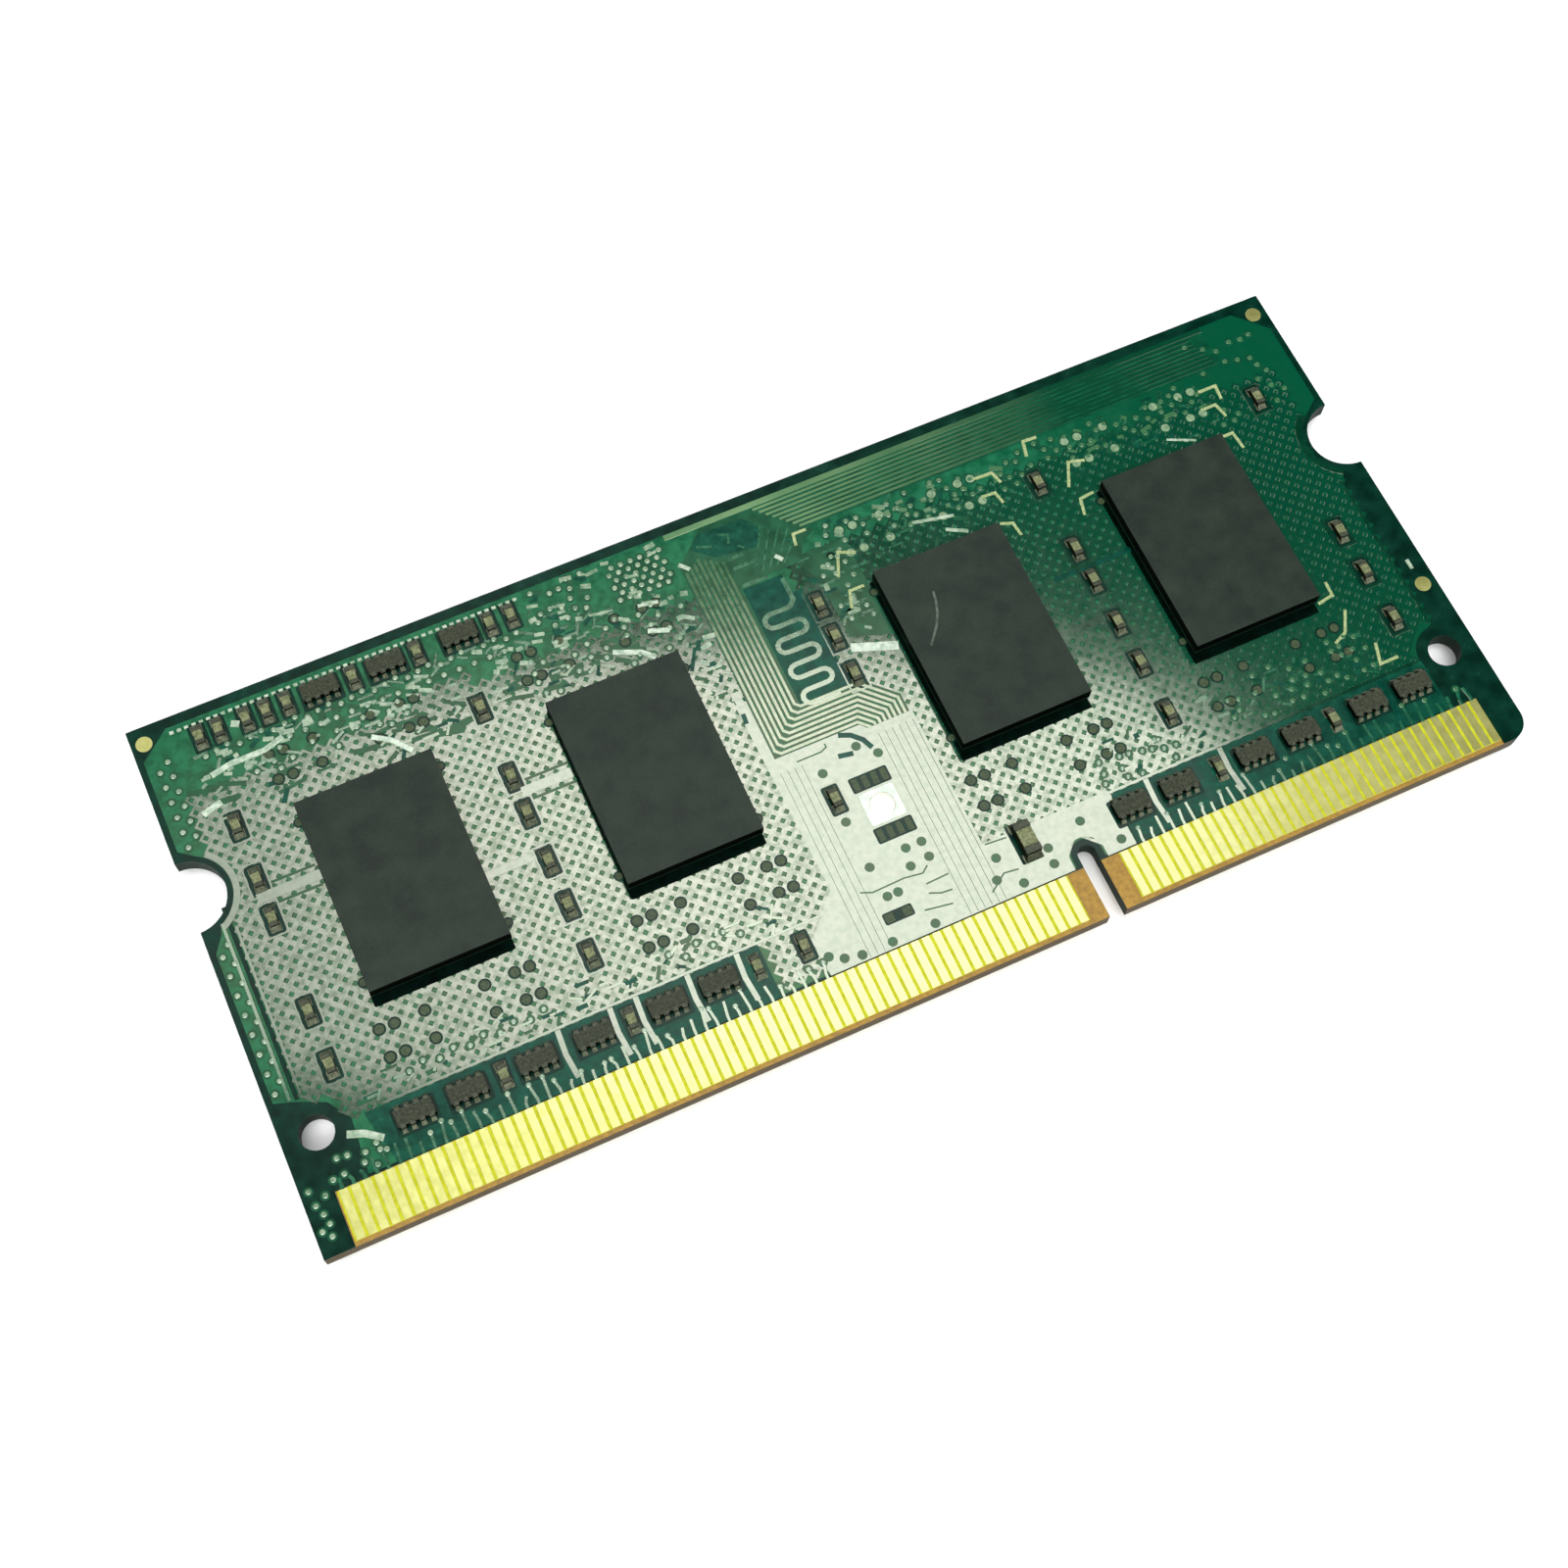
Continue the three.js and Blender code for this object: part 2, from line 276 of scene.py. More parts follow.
    def piece(self, name, side, finishes, slot="laminate", replaced=()):
        """Turns the solids into one object on the given face; finishes names its materials."""
        top = side == "rear"
        base, up = (BOARD_HIGH.z, MM) if top else (BOARD_LOW.z, -MM)
        points = [(BOARD_LOW.x + x * MM, BOARD_LOW.y + y * MM, base + h * up) for x, y, h in self.points]
        mesh = bpy.data.meshes.new(name)
        mesh.from_pydata(points, [], self.faces if top else [face[::-1] for face in self.faces])
        mesh.polygons.foreach_set("material_index", self.slots)
        for finish_name in finishes.split():
            mesh.materials.append(FINISHES[finish_name])
        mesh.update()
        made = placed(name, mesh)
        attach(made, BODY)
        if replaced:
            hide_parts(*replaced)


class Area:
    """Part of the board, as boxes and as round-ended strips."""

    def __init__(self):
        self.boxes, self.lines = [], []

    def box(self, x0, y0, x1, y1):
        self.boxes.append((x0, y0, x1, y1))

    def line(self, path, radius):
        for start, end in zip(path, path[1:]):
            self.lines.append((start, end, radius))

    def covers(self, points):
        """For each point, whether it lies in the area."""
        x, y = points[:, 0], points[:, 1]
        found = np.zeros(len(points), bool)
        for x0, y0, x1, y1 in self.boxes:
            found |= (x > x0) & (x < x1) & (y > y0) & (y < y1)
        for start, end, radius in self.lines:
            a, b = np.array(start, float), np.array(end, float)
            along = b - a
            reach = np.clip(((points - a) @ along) / max(along @ along, 1e-9), 0.0, 1.0)
            gap = points - a - reach[:, None] * along
            found |= np.hypot(gap[:, 0], gap[:, 1]) < radius
        return found


# ---- materials


class Graph:
    """Adds shader nodes to the node tree of a material, a lamp or the world.

    A value is a number, a colour, a vector or the output socket of another node.
    """

    def __init__(self, owner):
        owner.use_nodes = True
        self.nodes, self.links = owner.node_tree.nodes, owner.node_tree.links

    def put(self, socket, value):
        if isinstance(value, bpy.types.NodeSocket):
            self.links.new(value, socket)
        else:
            socket.default_value = value

    def add(self, kind, inputs, **settings):
        made = self.nodes.new("ShaderNode" + kind)
        for name, value in settings.items():
            setattr(made, name, value)
        for name, value in inputs.items():
            self.put(made.inputs[name], value)
        return made.outputs

    def maths(self, operation, *values):
        return self.add("Math", dict(enumerate(values)), operation=operation)[0]

    def noise(self, place, size, detail):
        """Noise whose spots are about that many mm wide."""
        inputs = {"Vector": place, "Scale": 1 / (size * MM), "Detail": detail}
        return self.add("TexNoise", inputs)["Fac"]

    def along(self, vector, axis):
        return self.add("SeparateXYZ", {"Vector": vector})[axis]

    def span(self, value, start, end, before=0.0, after=1.0, shape="LINEAR"):
        """Turns the range from start to end into the one from before to after."""
        inputs = {"Value": value, "From Min": start, "From Max": end, "To Min": before, "To Max": after}
        return self.add("MapRange", inputs, interpolation_type=shape)["Result"]

    def blend(self, value, *stops):
        """Colours a value by two stops, each a position and a colour."""
        made = self.nodes.new("ShaderNodeValToRGB")
        for element, (position, colour) in zip(made.color_ramp.elements, stops):
            element.position = position
            element.color = (*colour, 1)
        self.put(made.inputs["Fac"], value)
        return made.outputs["Color"]


FINISHES = {}
COAT_ROUGHNESS = 0.12
GLARE_SPOT = 0.33


def finish(
    name, low, high, grain, roughness, metallic=0.0, ior=1.5, bump=0.0, painted_side_shade=1.0, patch=0.0,
    tint=None, dull=None, fade=None, coat=0.0
):
    """A procedural finish: colour drifting from low to high over grains of that many mm.

    roughness is (least, most), painted_side_shade darkens the colour and gloss of upright faces
    as a painted shade, and patch is the size in mm of a wider drift. tint colours the mirror
    reflection, which drifts to dull in spots. fade is (from, to, colour): places along X, in mm,
    between which the finish turns to that colour.
    """
    made = bpy.data.materials.new(name)
    graph = Graph(made)
    sockets = graph.nodes["Principled BSDF"].inputs
    sockets["Metallic"].default_value = metallic
    sockets["IOR"].default_value = ior
    sockets["Coat Weight"].default_value = coat
    sockets["Coat Roughness"].default_value = COAT_ROUGHNESS
    if tint:
        sockets["Specular Tint"].default_value = (*tint, 1)
    place = graph.add("TexCoord", {})["Object"]
    fine = drift = graph.noise(place, grain, 3.0)
    if patch > 0:
        wide = graph.noise(place, patch, 2.0)
        drift = graph.maths("MULTIPLY_ADD", wide, 0.6, graph.maths("MULTIPLY", fine, 0.4))
    colour = graph.blend(drift, (0.35, low), (0.65, high))
    if dull:
        spots = graph.noise(place, GLARE_SPOT, 2.0)
        graph.put(sockets["Specular Tint"], graph.blend(spots, (0.34, dull), (0.62, tint)))
    if fade:
        start, end, last = fade
        share = graph.span(graph.along(place, "X"), start * MM, end * MM)
        inputs = {"Factor": share, "A": colour, "B": (*last, 1)}
        colour = graph.add("Mix", inputs, data_type="RGBA")["Result"]
    # Painted shade: upright faces get a darker colour and less gloss, standing in for the shade on the sides
    # of packages and parts.
    if painted_side_shade < 1:
        level = graph.maths("ABSOLUTE", graph.along(graph.add("NewGeometry", {})["True Normal"], "Z"))
        factor = graph.span(level, 0.3, 0.8, painted_side_shade, 1.0)
        graph.put(sockets["Specular IOR Level"], graph.maths("MULTIPLY", factor, 0.5))
        colour = graph.add("VectorMath", {0: colour, "Scale": factor}, operation="SCALE")["Vector"]
    graph.put(sockets["Base Color"], colour)
    graph.put(sockets["Roughness"], graph.span(drift, 0.3, 0.7, *roughness))
    if bump > 0:
        relief = graph.add("Bump", {"Strength": 1.0, "Distance": bump * MM, "Height": fine})
        graph.put(sockets["Normal"], relief["Normal"])
    FINISHES[name] = made


finish("laminate", (0.26, 0.145, 0.016), (0.38, 0.22, 0.03), 0.25, (0.45, 0.65), bump=0.01)
# Board walls: near-black routed edges and hole walls, dark brown sawn contact edge; partly the edges' own
# colour, partly painted shade.
finish("routed_edge", (0.001, 0.01, 0.006), (0.008, 0.024, 0.012), 0.1, (0.5, 0.7), ior=1.25, bump=0.012)
finish("contact_edge", (0.03, 0.018, 0.003), (0.08, 0.05, 0.01), 0.1, (0.5, 0.7), ior=1.3, bump=0.012)
finish("contact_resin", (0.42, 0.43, 0.008), (0.52, 0.54, 0.02), 0.3, (0.4, 0.5), ior=1.25, bump=0.002)
finish(
    "copper_mask", (0.0, 0.03, 0.014), (0.0, 0.048, 0.023), 0.5, (0.09, 0.12), ior=2.2,
    tint=(1.0, 1.0, 0.84), dull=(0.58, 0.62, 0.48), bump=0.0014, fade=(4.0, 12.0, (0.0, 0.056, 0.027))
)
finish(
    "plane_mask", (0.0, 0.03, 0.014), (0.0, 0.048, 0.023), 0.5, (0.09, 0.12), ior=2.2,
    tint=(0.98, 1.0, 0.84), dull=(0.86, 0.9, 0.74), bump=0.0012
)
finish(
    "track_mask", (0.002, 0.07, 0.034), (0.012, 0.13, 0.064), 0.3, (0.1, 0.14), ior=2.2,
    tint=(1.0, 0.98, 0.8), bump=0.0012
)
# Light green at the left end of the top bus is a painted highlight, fading to plain dark green towards the
# right.
finish(
    "bus_mask_painted_highlight", (0.085, 0.2, 0.09), (0.14, 0.27, 0.125), 3.0, (0.1, 0.14), ior=2.1, tint=(1.0, 0.96, 0.72),
    fade=(2.0, 20.0, (0.0, 0.052, 0.024))
)
finish(
    "bend_mask", (0.016, 0.085, 0.036), (0.045, 0.135, 0.058), 0.4, (0.1, 0.14), ior=2.2,
    tint=(1.0, 0.97, 0.78), dull=(0.8, 0.8, 0.62), bump=0.001
)
# Light green-white: a painted highlight on strokes among the hatching and round the empty site's thermal pad.
finish("bright_mask", (0.2, 0.32, 0.2), (0.48, 0.58, 0.44), 0.35, (0.12, 0.2), ior=2.0, bump=0.003)
finish(
    "pale_mask", (0.1, 0.2, 0.11), (0.28, 0.38, 0.25), 0.35, (0.12, 0.2), ior=1.8,
    fade=(0.0, 14.0, (0.04, 0.14, 0.055)), bump=0.002
)
finish(
    "open_mask", (0.001, 0.075, 0.034), (0.006, 0.13, 0.06), 0.5, (0.16, 0.22), ior=1.38,
    tint=(1.0, 0.95, 0.6), bump=0.001, fade=(15.0, 25.0, (0.0, 0.066, 0.03))
)
finish("dark_mask", (0.0, 0.014, 0.008), (0.0, 0.028, 0.016), 0.8, (0.2, 0.28), ior=1.25)
finish("deep_mask", (0.0, 0.038, 0.022), (0.002, 0.07, 0.04), 0.5, (0.2, 0.28), ior=1.25)
# Near-black: a painted shadow under and round the packages.
finish("shaded_mask", (0.0, 0.002, 0.001), (0.0, 0.005, 0.003), 0.5, (0.4, 0.5), ior=1.1)
finish("teal_mask", (0.0, 0.036, 0.022), (0.001, 0.066, 0.042), 0.5, (0.16, 0.22), ior=1.25)
finish(
    "plain_mask", (0.0, 0.048, 0.022), (0.0, 0.08, 0.036), 0.8, (0.18, 0.24), ior=1.42,
    tint=(1.0, 0.95, 0.7)
)
finish("gold", (0.54, 0.54, 0.17), (0.64, 0.64, 0.24), 0.5, (0.33, 0.38), metallic=1.0, coat=0.7)
finish("ink", (0.2, 0.28, 0.11), (0.42, 0.48, 0.23), 0.12, (0.6, 0.75), bump=0.004)
finish(
    "mould", (0.003, 0.01, 0.006), (0.015, 0.027, 0.016), 0.09, (0.4, 0.52), ior=1.35, bump=0.012,
    painted_side_shade=0.06, patch=1.4
)
finish("scuffed_mould", (0.02, 0.035, 0.024), (0.1, 0.12, 0.095), 0.3, (0.4, 0.52), ior=1.35)
# Near-black carrier: partly its own dark colour, partly painted shade on the sides that show below the mould
# cap.
finish("carrier", (0.001, 0.008, 0.004), (0.002, 0.014, 0.007), 0.3, (0.45, 0.6), ior=1.25)
finish("silicon", (0.08, 0.09, 0.11), (0.12, 0.13, 0.15), 0.4, (0.15, 0.25))
# Dark solder: partly its own dull colour, partly painted shade for the dark surroundings that tin mirrors.
finish(
    "solder", (0.08, 0.1, 0.06), (0.24, 0.26, 0.17), 0.15, (0.35, 0.5), metallic=0.6, bump=0.006,
    painted_side_shade=0.3
)
finish("bright_solder", (0.7, 0.72, 0.6), (0.85, 0.85, 0.74), 0.3, (0.3, 0.45), metallic=0.6, bump=0.004)
finish("light_pad", (0.1, 0.2, 0.1), (0.24, 0.34, 0.2), 0.2, (0.4, 0.55), bump=0.004)
finish(
    "array_body", (0.016, 0.022, 0.012), (0.052, 0.058, 0.036), 0.12, (0.45, 0.65), ior=1.3, bump=0.006,
    painted_side_shade=0.06
)
finish(
    "chip_body", (0.09, 0.11, 0.045), (0.22, 0.24, 0.12), 0.15, (0.4, 0.55), ior=1.35, bump=0.004,
    painted_side_shade=0.06
)
# Dark terminals: partly their own dull colour, partly painted shade for the dark surroundings the plated ends
# mirror.
finish(
    "terminal", (0.012, 0.02, 0.01), (0.065, 0.075, 0.042), 0.12, (0.4, 0.55), metallic=0.2, bump=0.004,
    painted_side_shade=0.12
)
finish("bare_pad", (0.018, 0.04, 0.016), (0.06, 0.085, 0.036), 0.15, (0.35, 0.5), ior=1.4, bump=0.004)


# ---- board


def board_outline():
    """The board's edge, counter-clockwise."""
    half = KEY_WIDTH / 2
    points = [(0.0, 0.0), (KEY_X - half, 0.0), *circle(KEY_X, KEY_DEPTH - half, half, 16, 180, 0)]
    points += [(KEY_X + half, 0.0)]
    points += circle(LENGTH - CORNER_RADIUS, CORNER_RADIUS, CORNER_RADIUS, 8, 270, 360)
    points += circle(LENGTH, LATCH_Y, LATCH_RADIUS, 24, 270, 90)
    return points + [(LENGTH, WIDTH), (0.0, WIDTH)] + circle(0, LATCH_Y, LATCH_RADIUS, 24, 90, -90)


def hole_outlines():
    return [circle(x, y, HOLE_RADIUS, 40) for x, y in HOLES]


def contact_window():
    """Board outline without the strip where the contacts lie bare on the laminate."""
    half, top = KEY_WIDTH / 2, CONTACT_TOP
    outline = board_outline()
    by_key = [p for p in outline if abs(p[0] - KEY_X) < 1.2 and p[1] < 5]
    key = [p for p in by_key if p[1] > top]
    corner = [p for p in outline if p[0] > 66 and p[1] <= 1.3]
    rest = [p for p in outline if p[1] > 1.3 and p not in by_key]
    start = [(0.0, 0.0), (CONTACT_LEFT, 0.0), (CONTACT_LEFT, top), (KEY_X - half, top)]
    after = [(KEY_X + half, top), (CONTACT_RIGHT, top), (CONTACT_RIGHT, 0.0)]
    return start + key + after + corner + rest


def board_core():
    """The glass-epoxy laminate that everything is laid on; its contact edge is sawn bare."""
    # Wall slots for the two edge finishes, both darkened as painted shade.
    routed, sawn = 1, 2
    core = Shape()
    core.sheet(
        [board_outline()] + hole_outlines(), -THICKNESS - LAMINATE, LAMINATE,
        walls=lambda p, q: sawn if max(p[1], q[1]) < 0.01 else routed
    )
    finishes = "laminate routed_edge contact_edge"
    core.piece("board_laminate", "rear", finishes, "laminate", ("circuit_board",))


def mask_sheets(side):
    """Solder mask: a dark sheet to the edge, and a lighter one over the inner copper."""
    dark, inner = Shape(), Shape()
    dark.sheet([contact_window()] + hole_outlines(), LAMINATE - 0.005, MASK)
    dark.piece(side + "_mask", side, "dark_mask")
    inner.sheet([inner_outline()], MASK_FOOT, INNER_SHEET)
    inner.piece(side + "_mask_inner", side, "open_mask")


def inner_outline():
    """Edge of the lighter sheet: clear of the holes, the notches, the key and the dark strips."""
    rim, low, by_key = LATCH_RADIUS + 0.3, 3.05, 0.85
    hole_x, hole_y = HOLES[1]
    points = [(3.4, low), (KEY_X - by_key, low), *circle(KEY_X, 3.5, by_key, 16, 180, 0)]
    points += [(KEY_X + by_key, low), (63.8, low), (63.9, 4.9)]
    points += circle(hole_x, hole_y, 1.55, 12, 205, 95)
    points += [(66.0, 7.7), (66.0, 17.2), *circle(LENGTH, LATCH_Y, rim, 16, 240, 118)]
    points += [(67.25, 22.6), (67.25, 27.7), (65.6, 29.4), (2.0, 29.4), (0.35, 28.0), (0.35, 22.6)]
    points += circle(0, LATCH_Y, rim, 16, 62, -62)
    return points + [(0.9, 17.4), (0.35, 16.6), (0.35, 8.2), (1.5, 7.8), (2.8, 7.2), (3.6, 6.0)]


# ---- contacts


def contacts(side):
    """Two rows of plated fingers with chamfered edges, on the resin between them."""
    bed = Shape()
    for x0, x1 in ((1.68, 41.3), (44.3, 65.83)):
        bed.plate(rectangle((x0 + x1) / 2, 1.55, x1 - x0, 2.62), BED, low=CONTACT_FOOT)
    bed.piece(side + "_contact_bed", side, "contact_resin")
    y, length = (FINGER_LOW + FINGER_HIGH) / 2, FINGER_HIGH - FINGER_LOW
    for row, (first, count) in zip(("long", "short"), FINGER_ROWS):
        shape = Shape()
        for i in range(count):
            outline = rectangle(first + i * FINGER_PITCH, y, FINGER_WIDTH, length, 0.04)
            shape.plate(outline, TRACK, 0.02, low=CONTACT_FOOT)
        name = f"{side}_contacts_{row}_row"
        shape.piece(name + "_plated", side, "gold", "gold", (name,))


# ---- copper under the mask


def hatch(name, side, keep, regions):
    """Hatched copper: a diamond cell round each opening, closed and sharing its corners."""
    columns, rows = int(LENGTH / HALF_STEP) + 1, int(WIDTH / HALF_STEP) + 1
    cells = [(cx, cy) for cy in range(rows) for cx in range(columns) if (cx + cy) % 2 == 0]
    centres = np.array(cells, float) * HALF_STEP
    inside = regions.covers(centres) & ~keep.covers(centres)
    chosen = [c for c, i in zip(cells, inside) if i]
    bands = 3
    for band in range(bands):
        low, high = LENGTH * band / bands, LENGTH * (band + 1) / bands
        part = {c for c in chosen if low <= c[0] * HALF_STEP < high}
        hatch_cells(part).piece(f"{name}_{band + 1}", side, "copper_mask")


def hatch_cells(chosen):
    """The cells as one solid. Even points are at the foot of the copper, odd ones on top."""
    shape = Shape()
    corner_at = {}

    def corner(a, b):
        if (a, b) not in corner_at:
            corner_at[a, b] = len(shape.points)
            x, y = a * HALF_STEP, b * HALF_STEP
            shape.points += [(x, y, MASK_FOOT), (x, y, COPPER)]
        return corner_at[a, b]

    for cx, cy in sorted(chosen):
        x, y = cx * HALF_STEP, cy * HALF_STEP
        rim = [corner(a, b) for a, b in ((cx + 1, cy), (cx, cy + 1), (cx - 1, cy), (cx, cy - 1))]
        base = len(shape.points)
        for reach, height in ((OPENING_BASE, MASK_FOOT), (OPENING_TOP, COPPER)):
            shape.points += [(x + reach, y, height), (x, y + reach, height)]
            shape.points += [(x - reach, y, height), (x, y - reach, height)]
        faces = []
        for i in range(4):
            j = (i + 1) % 4
            low_i, low_j, high_i, high_j = base + i, base + j, base + 4 + i, base + 4 + j
            faces.append((rim[i] + 1, rim[j] + 1, high_j, high_i))
            faces.append((high_i, high_j, low_j, low_i))
            faces.append((low_i, low_j, rim[j], rim[i]))
        for i, (dx, dy) in enumerate(((1, 1), (-1, 1), (-1, -1), (1, -1))):
            if (cx + dx, cy + dy) not in chosen:
                j = (i + 1) % 4
                faces.append((rim[i], rim[j], rim[j] + 1, rim[i] + 1))
        shape.faces += faces
        shape.slots += [0] * len(faces)
    return shape


def meander():
    """Path of the length-matching meander between the middle packages."""
    rows = (22.65, 21.8, 21.0, 20.2, 19.4, 18.6, 17.8, 17.0)
    path = [(35.1, 24.4), (35.1, 23.0), (34.75, rows[0])]
    for i, (y, below) in enumerate(zip(rows, rows[1:])):
        x, end = (33.55, 270) if i % 2 == 0 else (34.75, -90)
        path += circle(x, (y + below) / 2, (y - below) / 2, 6, 90, end)
    return path + [(35.1, rows[-1])]


def top_bus():
    """The wide bus along the top edge, as (path, width) pairs."""
    lines = []
    for i in range(8):
        y = 26.95 + 0.275 * i
        lines.append(([(63.3 - 0.11 * i, y), (37.3 - 0.28 * i, y)], 0.2))
    return lines + [([(30.2, 29.22), (63.5, 29.22)], 0.36)]


def middle_bus():
    """The bus between the middle packages, which bends round to the contacts."""
    pitch, lines = 0.295, []
    for i in range(8):
        x, y, turn = 30.5 + pitch * i, 15.02 + pitch * i, 35.67 + pitch * i
        chamfer = 0.5 + 0.158 * i
        top, foot = 27.3 - 0.18 * abs(i - 3), min(14.5, y - chamfer - 0.1)
        path = [(x, top), (x, y + 0.25), (x + 0.25, y), (turn - chamfer, y)]
        lines.append((path + [(turn, y - chamfer), (turn, foot)], 0.215))
    return lines


def rear_tracks():
    """Single signal tracks of the rear face, as (path, width) pairs."""
    lines = []
    for i in range(5):
        x = 33.9 + 0.42 * i
        lines.append(([(x + 1.5, 28.0 - 0.3 * i), (x, 25.2)], 0.16))
    lines += [(meander(), 0.33), ([(1.15, 8.0), (1.15, 18.0)], 0.22)]
    for y, x0, x1 in ((25.95, 32.9, 34.3), (24.8, 32.9, 34.4), (26.6, 32.9, 33.8)):
        lines.append(([(x0, y), (x1, y + 0.05)], 0.24))
    for path in (
        [(31.6, 28.0), (32.4, 27.7)], [(32.9, 28.3), (33.5, 28.0), (33.3, 27.5)], [(33.7, 27.2), (34.0, 26.9)]
    ):
        lines.append((path, 0.2))
    return lines


def painted_highlight_strokes():
    """Short wide copper strokes among the hatching, as (path, width) pairs; their light colour is a painted
    highlight.
    """
    dashes = [([(2.1 + 0.4 * i, 29.05), (2.32 + 0.4 * i, 29.05)], 0.2) for i in range(49)]
    return [
        ([(36.7, 19.1), (39.1, 18.2)], 0.56),
        ([(3.3, 25.9), (4.5, 26.15), (6.3, 26.15), (7.4, 26.5)], 0.36),
        ([(11.6, 24.6), (12.5, 24.0), (13.3, 23.0)], 0.34),
        ([(25.0, 24.0), (26.4, 23.4), (27.0, 22.8)], 0.34), ([(27.3, 26.0), (28.4, 25.8)], 0.26),
        ([(27.2, 24.4), (28.3, 24.0)], 0.34), ([(30.3, 27.4), (30.75, 26.9)], 0.28),
        ([(35.3, 25.8), (35.6, 25.4)], 0.3), ([(43.0, 24.6), (45.3, 24.1)], 0.24),
        ([(44.5, 23.5), (45.6, 22.9)], 0.26), ([(58.3, 23.6), (59.8, 22.9)], 0.2),
        ([(3.1, 5.3), (3.9, 5.0), (4.7, 4.4)], 0.4), ([(3.3, 24.3), (2.2, 24.0)], 0.4),
        ([(66.75, 11.6), (66.75, 11.0)], 0.22), ([(5.2, 28.3), (5.6, 28.1)], 0.4),
    ] + dashes


def wide_strokes():
    """Wide copper strokes under the mask, as (path, width) pairs."""
    strokes = [
        ([(3.2, 18.5), (6.6, 18.5)], 0.62), ([(17.6, 18.5), (20.4, 18.5)], 0.62),
        ([(14.2, 14.95), (16.7, 14.95)], 0.5), ([(47.3, 15.2), (50.0, 15.2)], 0.5),
        ([(29.9, 19.2), (30.0, 18.3)], 0.5),
    ]
    for x in (14.4, 17.2, 18.6, 21.4, 24.1, 47.5, 51.9):
        strokes.append(([(x, 5.95), (x - 0.08, 4.6), (x + 0.05, 3.3)], 0.34))
    return strokes


# Solid copper of the rear face, as outlines, counter-clockwise.
KEY_RIM = circle(KEY_X, KEY_DEPTH - KEY_WIDTH / 2, 0.95, 16, 180, 0)
SOLID_AREAS = (
    ((28.0, 2.95), (38.1, 2.95), (38.1, 14.5), (35.5, 14.5), (35.2, 14.85), (30.3, 14.85))
    + ((30.3, 18.6), (29.9, 19.2), (29.65, 18.9), (29.9, 7.1), (27.9, 5.0)),
    ((38.0, 2.95), (41.85, 2.95), *KEY_RIM, (43.75, 2.95), (45.4, 2.95), (45.4, 6.2), (38.0, 6.2)),
)
# Areas of the rear face with no copper, as outlines, counter-clockwise.
PLAIN_AREAS = (
    ((30.3, 14.85), (35.2, 14.85), (35.5, 14.5), (37.95, 14.5), (37.95, 15.6), (36.3, 17.25))
    + ((32.8, 17.25), (32.8, 24.9), (36.4, 24.9), (37.6, 26.75), (63.6, 26.75), (63.4, 29.0))
    + ((32.2, 29.0), (30.3, 27.2)),
    ((36.9, 19.7), (39.2, 18.9), (39.2, 25.3), (36.0, 25.3), (36.9, 23.4)),
)
DEEP_AREAS = (
    ((4.9, 2.95), (25.3, 2.95), (25.3, 5.95), (4.2, 5.95)),
    ((45.45, 2.95), (64.3, 2.95), (64.3, 5.95), (45.45, 5.95)),
    ((32.3, 27.0), (34.6, 26.7), (35.3, 27.6), (34.6, 28.6), (32.0, 28.7), (31.2, 28.0)),
    ((32.85, 17.2), (35.3, 17.2), (35.3, 22.9), (32.85, 22.9)),
)
TEAL_AREAS = (
    ((32.85, 22.9), (35.15, 22.9), (35.15, 24.6), (32.85, 24.6)),
    ((35.25, 17.3), (35.75, 17.0), (35.8, 23.4), (35.25, 23.4)),
)
TEAL_STROKES = (
    ([(48.5, 18.3), (53.2, 18.3)], 0.34), ([(10.5, 5.9), (10.45, 3.6)], 0.42),
    ([(11.75, 5.9), (11.7, 3.6)], 0.42), ([(50.1, 5.9), (50.2, 3.3)], 0.5),
    ([(54.8, 5.9), (54.7, 3.3)], 0.42), ([(57.3, 5.6), (57.4, 3.4)], 0.3),
    ([(59.3, 5.9), (59.1, 3.4)], 0.36), ([(61.6, 5.9), (61.5, 3.4)], 0.36),
    ([(7.9, 5.9), (7.8, 4.0)], 0.3), ([(33.9, 14.75), (34.5, 14.5), (35.0, 14.0), (35.25, 13.4)], 0.34),
    ([(33.4, 13.65), (34.2, 13.5)], 0.34), ([(29.85, 17.9), (29.8, 17.3)], 0.3),
)
THIN_GAPS = (
    [(31.3, 14.25), (32.7, 14.25), (33.05, 14.4), (33.05, 14.6)],
    [(31.2, 6.35), (31.8, 6.1), (33.6, 6.15), (34.6, 6.0), (35.0, 6.3)], [(34.5, 5.4), (35.8, 5.45)],
    [(34.4, 4.9), (35.0, 4.65), (35.6, 4.6)], [(33.8, 4.15), (35.3, 3.9)], [(38.2, 6.1), (39.4, 6.0)],
    [(37.4, 3.6), (38.4, 4.3), (39.2, 4.2)],
)
DARK_DOTS = (
    (32.25, 13.1), (32.2, 10.15), (32.25, 7.4), (34.5, 13.8), (35.4, 13.0),
    (34.4, 7.6), (35.3, 7.6), (34.2, 6.6), (35.3, 6.7), (32.4, 5.6), (33.0, 5.6),
    (43.3, 5.25), (41.1, 4.6), (41.0, 3.7), (44.8, 3.5), (38.4, 5.2), (37.9, 4.1),
    (28.3, 3.9), (29.0, 3.5), (29.9, 3.3), (31.6, 3.3), (39.1, 3.4), (34.0, 3.3),
)
# Slots of the piece that holds the gaps in the copper; the last slot is a painted shadow round the packages.
PLAIN, DARK, DEEP, TEAL, PAINTED_SHADOW = range(5)
VIA_RADIUS, VIA_CLEARING = 0.155, 0.26
STUB_SEED, VIA_SEED, CLEARING_SEED, STROKE_SEED = 11, 5, 23, 37
